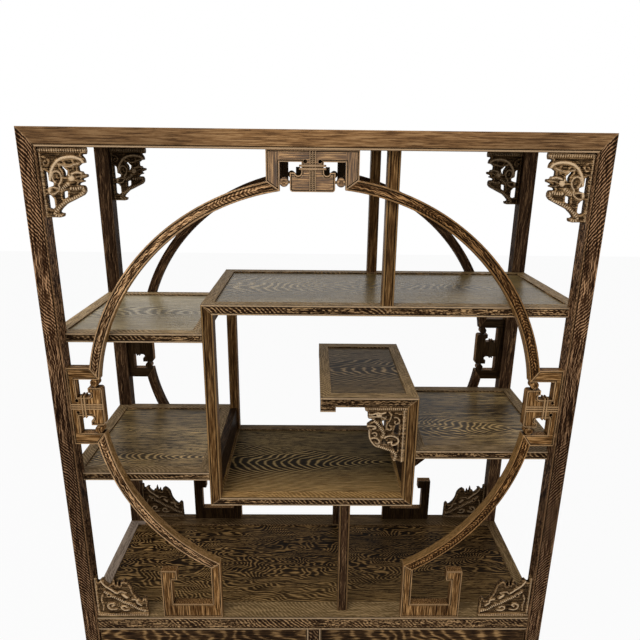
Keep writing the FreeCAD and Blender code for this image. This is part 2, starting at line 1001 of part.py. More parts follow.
def drawer_divider():
    """Short stile between the two drawers."""
    half = divider_width / 2
    body = block(-half, half, -base_front_y, -base_rail_inner_y, drawer_floor_z, deck_under_z)
    waste = moulding_waste(divider_width)
    return body.cut(
        upright_waste(waste, -half, True, drawer_floor_z, deck_under_z, base_front_y)
    )


def side_panels():
    """Plain panels that close the ends of the base, above and below the middle rail."""
    made = []
    for z0, z1 in ((cabinet_floor_z, mid_rail_under_z), (drawer_floor_z, deck_under_z)):
        made.append(
            block(
                -side_panel_x - base_panel_thickness, -side_panel_x, -inner_y, inner_y, z0, z1
            )
        )
    return both_sides(made)


def back_panels():
    y = base_front_y - (base_rail_depth + base_panel_thickness) / 2
    made = []
    for z0, z1 in ((cabinet_floor_z, mid_rail_under_z), (drawer_floor_z, deck_under_z)):
        made.append(block(-inner_x, inner_x, y, y + base_panel_thickness, z0, z1))
    return made


def board(top):
    """Loose board between the rails, flush with their upper edges."""
    inside = half_width - deck_setback - base_rail_depth
    outline = [
        (-inside, -inner_y), (-inner_x, -inner_y), (-inner_x, -base_rail_inner_y),
        (inner_x, -base_rail_inner_y), (inner_x, -inner_y), (inside, -inner_y),
        (inside, inner_y), (inner_x, inner_y), (inner_x, base_rail_inner_y),
        (-inner_x, base_rail_inner_y), (-inner_x, inner_y), (-inside, inner_y),
    ]
    return plan_prism(outline, top - board_thickness, top)


def drawer_guides():
    """Strips that keep the drawers straight: one beside each end, one behind the divider."""
    reach = drawer_depth - base_rail_depth
    front = base_rail_inner_y
    edge = divider_width / 2
    strip = post_size / 2
    middle = block(-edge, edge, -front, reach - front, drawer_floor_z,
                   drawer_floor_z + strip)
    left = block(-side_panel_x, -inner_x, -inner_y, inner_y, drawer_floor_z,
                 drawer_floor_z + strip)
    return [middle, left, flip_x(left)]


def apron_outline(length):
    """Half-open board with a straight middle and quarter-round shoulders down to short feet."""
    half = length / 2
    foot = half - apron_leg_width
    radius = apron_rise
    slope = radius * (1 - math.sqrt(0.5))
    top = apron_height
    edges = [
        Part.LineSegment(vec(-half, 0, 0), vec(-half, 0, top)),
        Part.LineSegment(vec(-half, 0, top), vec(half, 0, top)),
        Part.LineSegment(vec(half, 0, top), vec(half, 0, 0)),
        Part.LineSegment(vec(half, 0, 0), vec(foot, 0, 0)),
        Part.Arc(
            vec(foot, 0, 0), vec(foot - slope, 0, radius - slope),
            vec(foot - radius, 0, radius),
        ),
        Part.LineSegment(vec(foot - radius, 0, radius), vec(radius - foot, 0, radius)),
        Part.Arc(
            vec(radius - foot, 0, radius), vec(slope - foot, 0, radius - slope),
            vec(-foot, 0, 0),
        ),
        Part.LineSegment(vec(-foot, 0, 0), vec(-half, 0, 0)),
    ]
    return Part.Face(Part.Wire([edge.toShape() for edge in edges]))


def aprons():
    low = floor_clearance - apron_height
    front = apron_outline(2 * inner_x).extrude(vec(0, apron_thickness, 0))
    front.translate(vec(0, -base_front_y + front_setback, low))
    end = apron_outline(2 * inner_y).extrude(vec(0, apron_thickness, 0))
    end.rotate(vec(0, 0, 0), vec(0, 0, 1), -QUARTER_TURN)
    end.translate(vec(front_setback - half_width, 0, low))
    return [front, flip_y(front), end, flip_x(end)]


# Drawers, drawn for the left; the right one is its mirror image


def drawer_span():
    """Left and right faces of the left drawer's front."""
    return front_gap - inner_x, -divider_width / 2 - front_gap


def drawer_front():
    x0, x1 = drawer_span()
    z0 = drawer_floor_z + front_gap
    z1 = deck_under_z - front_gap
    body = block(x0, x1, -face_y, drawer_front_thickness - face_y, z0, z1)
    waste = moulding_waste(z1 - z0)
    return body.cut(rail_waste(waste, z0, True, x0, x1, face_y))


def drawer_box():
    """Two sides and a back standing round a bottom board."""
    span0, span1 = drawer_span()
    x0 = span0 - front_gap + guide_gap
    x1 = span1 + front_gap - guide_gap
    y0 = drawer_front_thickness - face_y
    y1 = drawer_depth - face_y
    z0 = drawer_floor_z + slide_gap
    z1 = z0 + drawer_box_height
    floor = z0 + drawer_bottom_thickness
    left = block(x0, x0 + drawer_wall, y0, y1, z0, z1)
    right = block(x1 - drawer_wall, x1, y0, y1, z0, z1)
    back = block(x0 + drawer_wall, x1 - drawer_wall, y1 - drawer_wall, y1, z0, z1)
    bottom = block(x0 + drawer_wall, x1 - drawer_wall, y0, y1 - drawer_wall, z0, floor)
    return [left, right, back, bottom]


# Doors, drawn for the left; the right one is its mirror image


def door_span():
    """Pivot edge, free edge, bottom and top of the left door."""
    return -inner_x + front_gap, -front_gap / 2, cabinet_floor_z + front_gap, \
        mid_rail_under_z - front_gap


def door_frame():
    """Four mitred members; the pivot stile has its arrises planed off and a pin at each end."""
    x0, x1, z0, z1 = door_span()
    y0, y1 = -face_y, door_thickness - face_y
    w = door_frame_width
    outer = [(x0, z0), (x1, z0), (x1, z1), (x0, z1)]
    inner = [(x0 + w, z0 + w), (x1 - w, z0 + w), (x1 - w, z1 - w), (x0 + w, z1 - w)]
    members = []
    for k, start in enumerate(outer):
        n = (k + 1) % len(outer)
        points = [start, outer[n], inner[n], inner[k]]
        members.append(front_prism(points, y0, y1).cut(door_tongue()))
    arris = even_corner(door_thickness)
    outline = [
        (x0, y0 + arris), (x0 + arris, y0), (x1, y0), (x1, y1), (x0 + arris, y1), (x0, y1 - arris)
    ]
    shape = plan_prism(outline, z0, z1)
    members = [member.common(shape) for member in members]
    pins = [
        Part.makeCylinder(
            pin_radius, pin_length, vec(-pivot_x(), pivot_y(), z), vec(0, 0, 1)
        )
        for z in (z0 - pin_length, z1)
    ]
    members[-1] = members[-1].fuse(pins)
    return members


def door_opening():
    x0, x1, z0, z1 = door_span()
    w = door_frame_width
    return x0 + w, x1 - w, z0 + w, z1 - w


def door_tongue():
    x0, x1, z0, z1 = door_opening()
    middle = door_panel_sink + door_panel_thickness / 2 - face_y
    half = tongue_thickness / 2
    return block(
        x0 - tongue_length, x1 + tongue_length, middle - half, middle + half,
        z0 - tongue_length, z1 + tongue_length,
    )


def door_panel():
    x0, x1, z0, z1 = door_opening()
    y = door_panel_sink - face_y
    body = block(x0, x1, y, y + door_panel_thickness, z0, z1)
    return body.fuse(door_tongue()).removeSplitter()


# Drop pulls, each a plate with two lugs and a pin, and a drop that swings on the pin


def eight_sides(width, corner):
    """Square with its corners cut off."""
    r = width / 2
    c = r - corner
    return [(r, c), (c, r), (-c, r), (-r, c), (-r, -c), (-c, -r), (c, -r), (r, -c)]


def pull_pin_y(face):
    return face - plate_thickness - lug_reach / 2


def pull_plate(x, face, z):
    """Eight-sided plate with two lugs and the pin between them."""
    points = [(x + a, z + b) for a, b in eight_sides(plate_width, plate_corner)]
    plate = front_prism(points, face - plate_thickness, face)
    pin_z = z + pull_pin_height
    half = lug_space / 2
    lugs = [
        block(
            x + x0, x + x0 + lug_width, face - plate_thickness - lug_reach,
            face - plate_thickness, pin_z - lug_height / 2, pin_z + lug_height / 2,
        )
        for x0 in (-half - lug_width, half)
    ]
    pin = Part.makeCylinder(
        pull_pin_radius, lug_space + lug_width,
        vec(x - half - lug_width / 2, pull_pin_y(face), pin_z), vec(1, 0, 0),
    )
    return plate.fuse(lugs + [pin])


def pull_drop(x, face, z):
    """Leaf-shaped drop hanging from an eight-sided eye on the pin."""
    pin_z = z + pull_pin_height
    length = lug_space - 2 * pull_side_gap
    start = vec(x - length / 2, pull_pin_y(face), pin_z)
    corner = even_corner(pull_eye_width)
    outline = [(start.y + a, start.z + b) for a, b in eight_sides(pull_eye_width, corner)]
    eye = side_prism(outline, start.x, start.x + length)
    leaf = share_face(drop_shares, drop_width, drop_length, 1, -1)
    leaf = leaf.extrude(vec(0, drop_thickness, 0))
    leaf.translate(vec(x, pull_pin_y(face) - drop_thickness / 2, pin_z))
    bore = Part.makeCylinder(
        pull_pin_radius + pin_clearance, length + 2 * overrun,
        start - vec(overrun, 0, 0), vec(1, 0, 0),
    )
    return eye.fuse(leaf).cut(bore)


def drawer_pull_place():
    x0, x1 = drawer_span()
    return (x0 + x1) / 2, -face_y + band_recess, (drawer_floor_z + deck_under_z) / 2


def door_pull_place():
    x0, x1, z0, z1 = door_span()
    return x1 - door_frame_width / 2, -face_y, (z0 + z1) / 2


def build():
    os.makedirs("parts", exist_ok=True)
    left_post = post()
    save("post_front_left", [left_post])
    save("post_front_right", [flip_x(left_post)])
    save("post_back_left", [flip_y(left_post)])
    save("post_back_right", [flip_x(flip_y(left_post))])
    save("top_long_rails", both_faces([top_front_rail()]))
    save("top_end_rails", both_sides([top_end_rail()]))
    save("top_panel", [top_panel()])

    frames = {
        upper_right: upper_right_frame(),
        upper_left: upper_left.frame(upper_left.front_rail()),
        raised: raised_frame(),
        mid_right: mid_right.frame(mid_right.front_rail()),
        mid_left: mid_left.frame(mid_left.front_rail()),
        box_floor: box_floor_frame(),
    }
    for shelf, frame in frames.items():
        save(shelf.name + "_frame", frame)
        save(shelf.name + "_panel", [shelf.panel()])

    save("left_uprights", both_faces([left_upright()]))
    save("right_uprights", both_faces([right_upright()]))
    save("top_uprights", both_faces([top_upright()]))
    save("foot_uprights", both_faces([foot_upright()]))
    save("box_cheeks", box_cheeks())

    arcs = ring_arcs()
    save("front_ring_arcs", arcs)
    save("back_ring_arcs", [flip_y(arc) for arc in arcs])
    save("top_frets", both_faces([top_fret()]))
    save("side_frets", both_faces(side_frets()))
    save("base_frets", both_faces([base_fret(-1), base_fret(1)]))
    save("upper_spandrels", both_faces(both_sides([upper_spandrel()])))
    save("lower_spandrels", both_faces(both_sides([lower_spandrel()])))
    save("shelf_brackets", both_faces([shelf_bracket()]))

    save("deck_rails", both_faces([deck_front_rail()]) + both_sides([deck_end_rail()]))
    save("deck_panel", [deck_panel()])
    save("panel_battens", panel_battens())
    save("base_front_rails", base_front_rails())
    save("base_back_rails", base_back_rails())
    save("base_end_rails", base_end_rails())
    save("drawer_divider", [drawer_divider()])
    save("base_panels", side_panels() + back_panels())
    save("cabinet_floor", [board(cabinet_floor_z)])
    save("drawer_board", [board(drawer_floor_z)])
    save("drawer_guides", drawer_guides())
    save("aprons", aprons())

    moving = {
        "drawer_front": [drawer_front()],
        "drawer_box": drawer_box(),
        "drawer_pull_plate": [pull_plate(*drawer_pull_place())],
        "drawer_pull_drop": [pull_drop(*drawer_pull_place())],
        "door_frame": door_frame(),
        "door_panel": [door_panel()],
        "door_pull_plate": [pull_plate(*door_pull_place())],
        "door_pull_drop": [pull_drop(*door_pull_place())],
    }
    for name, shapes in moving.items():
        save("left_" + name, shapes)
        save("right_" + name, [flip_x(shape) for shape in shapes])


build()
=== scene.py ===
import bmesh
import bpy
import math
import numpy as np
from dataclasses import dataclass
from mathutils import Matrix, Vector, kdtree


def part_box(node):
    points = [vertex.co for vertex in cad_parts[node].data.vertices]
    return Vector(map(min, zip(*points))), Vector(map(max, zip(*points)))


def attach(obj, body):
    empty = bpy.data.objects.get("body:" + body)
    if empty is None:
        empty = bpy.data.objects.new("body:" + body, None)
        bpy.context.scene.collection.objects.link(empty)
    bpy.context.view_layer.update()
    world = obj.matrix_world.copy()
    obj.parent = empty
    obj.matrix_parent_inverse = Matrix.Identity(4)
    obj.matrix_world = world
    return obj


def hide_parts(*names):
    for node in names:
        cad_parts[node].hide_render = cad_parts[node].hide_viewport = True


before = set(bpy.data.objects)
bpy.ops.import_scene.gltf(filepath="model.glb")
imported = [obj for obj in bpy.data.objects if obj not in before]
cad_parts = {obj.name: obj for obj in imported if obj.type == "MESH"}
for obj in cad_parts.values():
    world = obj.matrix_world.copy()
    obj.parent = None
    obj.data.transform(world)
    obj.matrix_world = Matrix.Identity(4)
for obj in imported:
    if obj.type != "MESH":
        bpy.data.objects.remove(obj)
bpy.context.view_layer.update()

bl_info = {
    "name": "Moon gate book cabinet",
    "version": (1, 0, 0),
    "blender": (4, 5, 0),
    "location": "3D View > Sidebar > Cabinet",
    "description": "Woods, carving, brass and studio for a book cabinet with a moon gate",
    "category": "Object",
}

MM = 0.001
TAU = 2 * math.pi


# Shader maths


def two_sided(operation, swapped=False):
    """Method that does a sum with another value, which comes first if swapped."""

    def method(self, other):
        return self.compute(operation, other, swapped)

    return method


class Signal:
    """A shader socket that takes part in sums."""

    def __init__(self, tree, socket):
        self.tree = tree
        self.socket = socket

    def compute(self, operation, other=None, swapped=False):
        node = self.tree.nodes.new("ShaderNodeMath")
        node.operation = operation
        plug(self.tree, node.inputs[1 if swapped else 0], self)
        if other is not None:
            plug(self.tree, node.inputs[0 if swapped else 1], other)
        return Signal(self.tree, node.outputs[0])

    __add__ = __radd__ = two_sided("ADD")
    __mul__ = __rmul__ = two_sided("MULTIPLY")
    __sub__ = two_sided("SUBTRACT")
    __rsub__ = two_sided("SUBTRACT", swapped=True)
    __truediv__ = two_sided("DIVIDE")
    __lt__ = two_sided("LESS_THAN")
    __gt__ = two_sided("GREATER_THAN")

    def __abs__(self):
        return self.compute("ABSOLUTE")

    def sine(self):
        return self.compute("SINE")

    def root(self):
        return self.compute("SQRT")

    def clamp(self):
        return self.compute("MAXIMUM", 0).compute("MINIMUM", 1)


def plug(tree, socket, value):
    """Links a signal or a node's output to a socket, or sets the socket's own value."""
    if isinstance(value, Signal):
        value = value.socket
    if isinstance(value, bpy.types.NodeSocket):
        tree.links.new(value, socket)
    elif socket.type == "RGBA":
        socket.default_value = (*value[:3], 1.0)
    else:
        socket.default_value = value


class Finish:
    """One material, or the world, while its nodes are put together."""

    def __init__(self, name, holders="materials", ending="ShaderNodeOutputMaterial"):
        self.holder = getattr(bpy.data, holders).new(name)
        self.holder.use_nodes = True
        self.tree = self.holder.node_tree
        self.tree.nodes.clear()
        self.output = self.node(ending)

    def node(self, kind, settings=None, values=None):
        made = self.tree.nodes.new(kind)
        for key, value in (settings or {}).items():
            setattr(made, key, value)
        for key, value in (values or {}).items():
            plug(self.tree, made.inputs[key], value)
        return made

    def signal(self, kind, output, settings=None, values=None):
        """One output of a new node."""
        return Signal(self.tree, self.node(kind, settings, values).outputs[output])

    def place(self):
        """The three Object coordinates, in metres."""
        whole = self.signal("ShaderNodeTexCoord", "Object")
        parts = self.node("ShaderNodeSeparateXYZ", values={"Vector": whole})
        return [Signal(self.tree, socket) for socket in parts.outputs]

    def vector(self, x, y, z):
        return self.signal("ShaderNodeCombineXYZ", 0, values={"X": x, "Y": y, "Z": z})

    def noise(self, vector, detail=2.0, roughness=0.5):
        values = {"Vector": vector, "Scale": 1.0, "Detail": detail, "Roughness": roughness}
        return self.signal("ShaderNodeTexNoise", "Fac", values=values)

    def ramp(self, factor, stops):
        made = self.node("ShaderNodeValToRGB", values={"Fac": factor})
        while len(made.color_ramp.elements) < len(stops):
            made.color_ramp.elements.new(1)
        for element, (place, colour) in zip(made.color_ramp.elements, stops):
            element.position = place
            element.color = (*colour, 1)
        return made.outputs[0]

    def mix(self, factor, first, second, blend="MIX"):
        settings = {"data_type": "RGBA", "blend_type": blend}
        return self.signal("ShaderNodeMix", 2, settings, {"Factor": factor, 6: first, 7: second})

    def cover(self, distance, inside=False):
        """How open the surface is: low in hollows, or, seen from inside, low along edges."""
        settings = {"samples": 6, "only_local": True, "inside": inside}
        return self.signal("ShaderNodeAmbientOcclusion", "AO", settings, {"Distance": distance})

    def bump(self, height, distance, strength):
        values = {"Height": height, "Distance": distance, "Strength": strength}
        return self.signal("ShaderNodeBump", 0, values=values)

    def end(self, shader):
        self.tree.links.new(shader.outputs[0], self.output.inputs[0])
        return self.holder

    def surface(self, values):
        return self.end(self.node("ShaderNodeBsdfPrincipled", values=values))


def settled(function):
    """Lets a route or a touch be given its settings first, and its finish later."""

    def settle(*given, **named):
        return lambda *rest: function(*rest, *given, **named)

    return settle


# Wood

POST_INNER = 470 * MM
POST_FACE = 183 * MM
TOP_RAIL_LOW = 1818 * MM
DECK_TOP = 841 * MM
DECK_FACE = 181 * MM
JOINT_WIDTH = 0.012
BEAD_WIDTH = 3.2 * MM
QUIRK_PLACE = 4.1 * MM
QUIRK_HALF = 0.9 * MM
MOULDING_DEPTH = 2.2 * MM
GRAIN_ORDER = {"x": (0, 1, 2), "y": (1, 0, 2), "z": (2, 0, 1)}


@settled
def straight(finish, axis, fold=False):
    """Grain that runs along one axis: along, across and depth signals, and no joint.

    Folded, the right half of the cabinet has the mirror image of the left half's grain.
    """
    place = finish.place()
    along, across, depth = (place[k] for k in GRAIN_ORDER[axis])
    return along, abs(across) * -1 if fold else across, depth, None


def turned(a, b, share, apart):
    """Grain along the first signal, or along the second in the share of end members."""
    return a + (b - a) * share, b + (a - b) * share + share * apart


@settled
def framed(finish, axes, centre, half, border):
    """Grain of a mitred frame: along the first axis, and along the second in the end members."""
    first, second = ("xyz".index(letter) for letter in axes)
    place = finish.place()
    a, b = place[first], place[second]
    reach_a = (half[0] - abs(a - centre[0])) / border[0]
    reach_b = (half[1] - abs(b - centre[1])) / border[1]
    joint = (abs(reach_a - reach_b) < JOINT_WIDTH) * (reach_a < 1.0)
    return *turned(a, b, reach_a < reach_b, 3.0), place[3 - first - second], joint


@settled
def keyed(finish, axis, cross, centre, reach):
    """Grain of a fret: along one axis, and along the other in the stems beyond a reach."""
    first, second = "xyz".index(axis), "xyz".index(cross)
    place = finish.place()
    a, b = place[first], place[second]
    stem = abs(a - centre) > reach
    return *turned(a, b, stem, 2.0), place[3 - first - second], None


def ring_reach(finish):
    """Sideways and upward offsets from the ring's axis, and the distance from it."""
    x, y, z = finish.place()
    dx, dz = x - RING_CENTRE.x, z - RING_CENTRE.z
    return dx, dz, (dx * dx + dz * dz).root()


def round_ring(finish):
    """Grain that follows the ring."""
    dx, dz, reach = ring_reach(finish)
    return [dz.compute("ARCTAN2", dx) * RING_RADIUS, reach, finish.place()[1], None]


@settled
def board(finish, axis, centre):
    """Grain of one wide board, with its heart under the middle of its width."""
    place = finish.place()
    along, across, depth = GRAIN_ORDER[axis]
    return place[along] - centre[along], place[across] - centre[across], place[depth], None


@dataclass
class Wood:
    """Tones in thousandths and figure of one kind of board, with lengths in millimetres."""

    dark: tuple
    middle: tuple
    light: tuple

    # Streaks: their spacing and length, how much they wander and how far they curl
    pitch: float = 2.4
    length: float = 50
    wave: float = 1.0
    curl: float = 0.0

    # Heart figure: its place under the board in metres, its rise along the board and its
    # unevenness, the spacing and raggedness of its rings, and its share of the pattern
    heart: float = 0.0
    taper: float = 0.19
    roll: float = 0.035
    rings: float = 4.9
    jag: float = 0.8
    mark: float = 0.62

    # Slanting figure: its share, its spacing along and across, its waviness, its least share,
    # the middle of its V shape, and the depth beyond which it shows
    slant: float = 0.0
    steep: float = 9.5
    close: float = 9
    ripple: float = 1.0
    least: float = 0.0
    chevron: float = 0.0
    face: float = 0.0

    # Contrast of the lines and of the clouds, roughness, reflection, and edges paler from wear and
    # painted highlight
    gain: float = 1.0
    cloud: float = 1.0
    rough: float = 0.42
    shine: float = 0.03
    edge_wear_and_highlight: float = 0.5

    def __post_init__(self):
        tones = (self.dark, self.middle, self.light)
        self.dark, self.middle, self.light = ([part / 1000 for part in tone] for tone in tones)


def wood_lines(finish, wood, along, across, depth, seed):
    """Dark and pale lines of the wood, from 0 to 1."""
    shift = seed * 1.7
    slow = finish.noise(finish.vector(along * 5, across * 15 + shift, depth * 15), 2.0)
    wander = finish.noise(finish.vector(along * 30, across * 60 + shift, depth * 60), 2.0)
    bent = across + slow * (18 * MM * wood.wave) + wander * (5 * MM * wood.wave)
    if wood.curl:
        turns = along / (15 * MM) + slow * 9 + wander * 2
        bent = bent + (turns * TAU).sine() * (wood.curl * MM)
    pitch = wood.pitch * MM
    place = finish.vector(along / (wood.length * MM), bent / pitch + shift, depth / pitch)
    lines = (finish.noise(place, 3.0, 0.6) - 0.5) * 3.8 + 0.5
    if wood.heart:
        rise = along * -wood.taper + wood.heart + (slow - 0.5) * wood.roll
        middle = across + (slow - 0.5) * (24 * MM)
        turns = (middle * middle + rise * rise).root() / (wood.rings * MM) + wander * wood.jag
        share = wood.mark
    elif wood.slant:
        middle = abs(across - wood.chevron * MM) if wood.chevron else across + depth
        turns = along / (wood.steep * MM) + middle / (wood.close * MM)
        turns = turns + (slow * 5 + wander * 1.6) * wood.ripple
        faint = finish.noise(finish.vector(along * 7, across * 11 + shift, depth * 11), 1.0)
        share = ((faint - 0.42) * 6).clamp().compute("MAXIMUM", wood.least) * wood.slant
        if wood.face:
            share = share * (abs(depth) > wood.face * MM)
        if wood.chevron:
            share = share * (middle < RING_BAND_HALF)
    else:
        return lines
    wave = (turns * TAU).sine() * 0.5 + 0.5
    return wave * wave * 1.15 * share + lines * (1 - share)


def wood_finish(name, wood, route, seed, *touches):
    """Finish of one wood; each touch changes its colour in some place."""
    finish = Finish(name)
    along, across, depth, joint = route(finish)
    lines = wood_lines(finish, wood, along, across, depth, seed)
    fibre = finish.noise(finish.vector(along * 90, across * 1300, depth * 1300), 2.0, 0.6)
    tone = (lines - 0.5) * wood.gain + 0.5 + (fibre - 0.5) * 0.5
    colour = finish.ramp(
        tone,
        [(0.16, wood.dark), (0.42, wood.middle), (0.58, wood.middle), (0.90, wood.light)],
    )
    patch = finish.noise(finish.vector(along * 2.5, across * 9 + seed, depth * 9), 1.0)
    low, high = ([1 + (c - 1) * wood.cloud for c in tones] for tones in CLOUD_TONES)
    shade = finish.ramp(patch, [(0.32, low), (0.68, high)])
    colour = finish.mix(1.0, colour, shade, "MULTIPLY")
    # Paler edges, partly wear and partly painted highlight where light catches the arrises
    edge = (1 - finish.cover(2.4 * MM, inside=True)) * 2.4 - 0.35
    colour = finish.mix(edge.clamp() * wood.edge_wear_and_highlight, colour, WORN_AND_HIGHLIT_EDGE)
    for touch in touches:
        colour = touch(finish, tone, colour)
    # Painted shade: darker in hollows and creases, where ambient occlusion is low
    shut = ((1 - finish.cover(6 * MM)) * 2.0 - 0.1).clamp()
    colour = finish.mix(shut, colour, [c * 0.4 for c in wood.dark])
    if joint is not None:
        colour = finish.mix(joint * 0.8, colour, JOINT_TONE)
    return finish.surface({
        "Base Color": colour,
        "Roughness": tone * -0.12 + (wood.rough + 0.06),
        "Specular IOR Level": wood.shine,
        "Specular Tint": SHEEN_TINT,
        "Normal": finish.bump(tone, 0.3 * MM, 0.5),
    })


# Touches

# Painted shade for quirks, grooves and unlit sides; painted highlights for beads
PAINTED_SHADE_TONE = (0.009, 0.005, 0.0025)
BEAD_HIGHLIGHT = (0.50, 0.35, 0.21)
GOLDEN_BEAD_HIGHLIGHT = (0.30, 0.175, 0.07)
POST_BEAD_HIGHLIGHT = (0.20, 0.11, 0.05)
# Painted light on the tops of rails
PAINTED_TOP_LIGHT = ((0.20, 0.125, 0.052), (0.46, 0.305, 0.14))
# Pale edges: part wear, part painted highlight
WORN_AND_HIGHLIT_EDGE = (0.48, 0.30, 0.15)
# Painted highlight on the carving's heights, partly rubbed wear
CARVED_PEAK_HIGHLIGHT = (0.72, 0.52, 0.32)
JOINT_TONE = (0.005, 0.003, 0.002)
SHEEN_TINT = (1.0, 0.86, 0.64)
CLOUD_TONES = ((0.66, 0.63, 0.60), (1.25, 1.2, 1.12))
# Painted light towards the front edges of shelves
FRONT_LIGHT_TONES = ((0.09, 0.05, 0.017), (0.37, 0.21, 0.072), (0.60, 0.39, 0.16))
BRASS_CREVICE = (0.035, 0.018, 0.007)


def moulding(away):
    """Shares of the bead and of the quirk at a distance from a member's edge."""
    bead = (1.2 - abs(away - BEAD_WIDTH / 2) / (BEAD_WIDTH / 2)).clamp()
    return bead, (1.3 - abs(away - QUIRK_PLACE) / QUIRK_HALF).clamp()


@settled
def beaded(finish, tone, colour, run, edges, face, fold=False, strength=0.8, gilt=BEAD_HIGHLIGHT):
    """Painted highlights on the beads and painted shade in the quirks of a moulded front; an edge
    is its place and the way inwards.
    """
    place = finish.place()
    across = place["xyz".index(run)]
    across = abs(across) if fold else across
    near = (face - abs(place[1])) < MOULDING_DEPTH
    lines = [moulding((across - edge) * way) for edge, way in edges]
    beads, quirks = (sum(shares) for shares in zip(*lines))
    colour = finish.mix(quirks * near * 0.85, colour, PAINTED_SHADE_TONE)
    return finish.mix(beads * near * strength, colour, gilt)


@settled
def lit_top(finish, tone, colour, height, back, front, edge):
    """Top of a rail painted lighter with painted light and reflection, its tones scaled from the
    back of the cabinet to the front, where low scales are painted shade.

    A dark line of painted shade runs along the edge, just behind the bead.
    """
    x, y, z = finish.place()
    face = finish.ramp(tone, [(0.2, PAINTED_TOP_LIGHT[0]), (0.8, PAINTED_TOP_LIGHT[1])])
    scale = finish.mix((y / (-0.32) + 0.5).clamp(), back, front)
    face = finish.mix(1.0, face, scale, "MULTIPLY")
    colour = finish.mix((z > height) * 0.85, colour, face)
    line = (abs(y) > edge - 3.4 * MM) * (z > height - MM) * (abs(y) < edge - 0.4 * MM)
    return finish.mix(line * 0.8, colour, PAINTED_SHADE_TONE)


@settled
def front_light(finish, tone, colour, amount, start=10 * MM):
    """Painted light: golden wood towards the front edge of a board, where light falls on it."""
    golden = finish.ramp(tone, list(zip((0.15, 0.45, 0.9), FRONT_LIGHT_TONES)))
    share = ((finish.place()[1] * -1 - start) / (110 * MM)).clamp()
    return finish.mix(share * amount, colour, golden)


def ring_sides(finish, tone, colour):
    """Painted shade in the quirks and painted highlights on the beads of the ring's moulded face,
    a tone paler to the left and darker to the right, and plainer golden wood on its other sides.
    """
    x, y, z = finish.place()
    inset = RING_WIDTH / 2 - abs(ring_reach(finish)[2] - (RING_RADIUS - RING_WIDTH / 2))
    side = inset < 0.2 * MM
    near = abs(y) > -GATE_FRONT - MOULDING_DEPTH
    bead, quirk = (share * near for share in moulding(inset))
    colour = finish.mix(quirk * 0.7, colour, PAINTED_SHADE_TONE)
    colour = finish.mix(bead * 0.45, colour, WORN_AND_HIGHLIT_EDGE)
    # Paler towards the left of the ring and darker towards the right
    paler_to_the_left = finish.ramp(x * 1.4 + 0.5, [(0.2, (1.3, 1.3, 1.35)), (0.8, (0.78, 0.66, 0.5))])
    colour = finish.mix(1.0, colour, paler_to_the_left, "MULTIPLY")
    face = finish.ramp(tone, [(0.2, (0.17, 0.088, 0.028)), (0.8, (0.28, 0.157, 0.055))])
    return finish.mix(side * 0.85, colour, face)


def unlit_side(finish, tone, colour):
    """Painted shade on the sides of the frets that face the inside of the cabinet."""
    y = finish.place()[1]
    return finish.mix((abs(y) < MM - GATE_BACK) * 0.93, colour, PAINTED_SHADE_TONE)


@settled
def toned(finish, tone, colour, stain, amount):
    """A share of one tone all over; on the box cheeks the tone is painted shade."""
    return finish.mix(amount, colour, stain)


def lit_deck_end(finish, tone, colour):
    """Painted light on the top of the deck's left end rail."""
    x, y, z = finish.place()
    face = finish.ramp(tone, [(0.2, (0.20, 0.15, 0.115)), (0.8, (0.38, 0.30, 0.24))])
    end = (x < -458 * MM) * (abs(y) < 150 * MM) * (z > DECK_TOP - MM)
    return finish.mix(end * 0.8, colour, face)


def carved(finish, tone, colour):
    """Painted shade in the carving's ground and on the boards at the back, and pale heights,
    partly rubbed wear and partly painted highlight.
    """
    relief = finish.signal("ShaderNodeAttribute", "Fac", {"attribute_name": "relief"})
    speck = finish.noise(finish.vector(*[part * 420 for part in finish.place()]), 2.0)
    high = relief + (speck - 0.5) * 0.5
    colour = finish.mix((1.1 - high * 2.1).clamp() * 0.95, colour, CARVED_WOOD.dark)
    colour = finish.mix(((high - 0.68) * 3.2).clamp() * 0.85, colour, CARVED_PEAK_HIGHLIGHT)
    # Painted shade on the carved boards at the back
    return finish.mix((finish.place()[1] > 0) * 0.5, colour, CARVED_WOOD.dark)



# Woods

POST_WOOD = Wood(
    (8, 3.6, 2), (43, 20, 9), (390, 230, 125), pitch=1.8, length=40, wave=1.2, curl=0.5, slant=0.6,
    steep=7.5, close=6, least=0.1, face=181.5, edge_wear_and_highlight=0.2, shine=0.018,
)
FRAME_WOOD = Wood(
    (11, 5, 3), (50, 25, 13), (380, 235, 120), pitch=2.0, length=40, wave=1.3, curl=0.35,
    slant=0.45, edge_wear_and_highlight=0.3,
)
# Darker copy of the frame wood: painted shade for the back posts, foot uprights, box cheeks and
# back ring
SHADED_WOOD = Wood(
    (8, 4, 2.4), (43, 22.5, 12), (210, 125, 65), pitch=2.2, length=40, wave=1.2, curl=0.5,
    gain=0.6, edge_wear_and_highlight=0.2, shine=0.015,
)
RAIL_WOOD = Wood(
    (9, 4.5, 2.6), (46, 23, 10), (440, 280, 140), pitch=2.0, length=34, curl=0.8, slant=0.5,
    gain=1.1,
)
TOP_WOOD = Wood(
    (100, 50, 21), (220, 117, 49), (340, 200, 94), wave=0.4, edge_wear_and_highlight=0.4, shine=0.1,
)
UPRIGHT_WOOD = Wood(
    (24, 11, 4), (105, 52, 18), (310, 180, 72), pitch=2.0, wave=0.6, gain=0.75,
)
UPPER_RIGHT_WOOD = Wood(
    (65, 45, 19), (195, 140, 56), (450, 335, 150), heart=0.08, taper=0.24, jag=0.5, rough=0.27,
    shine=0.125,
)
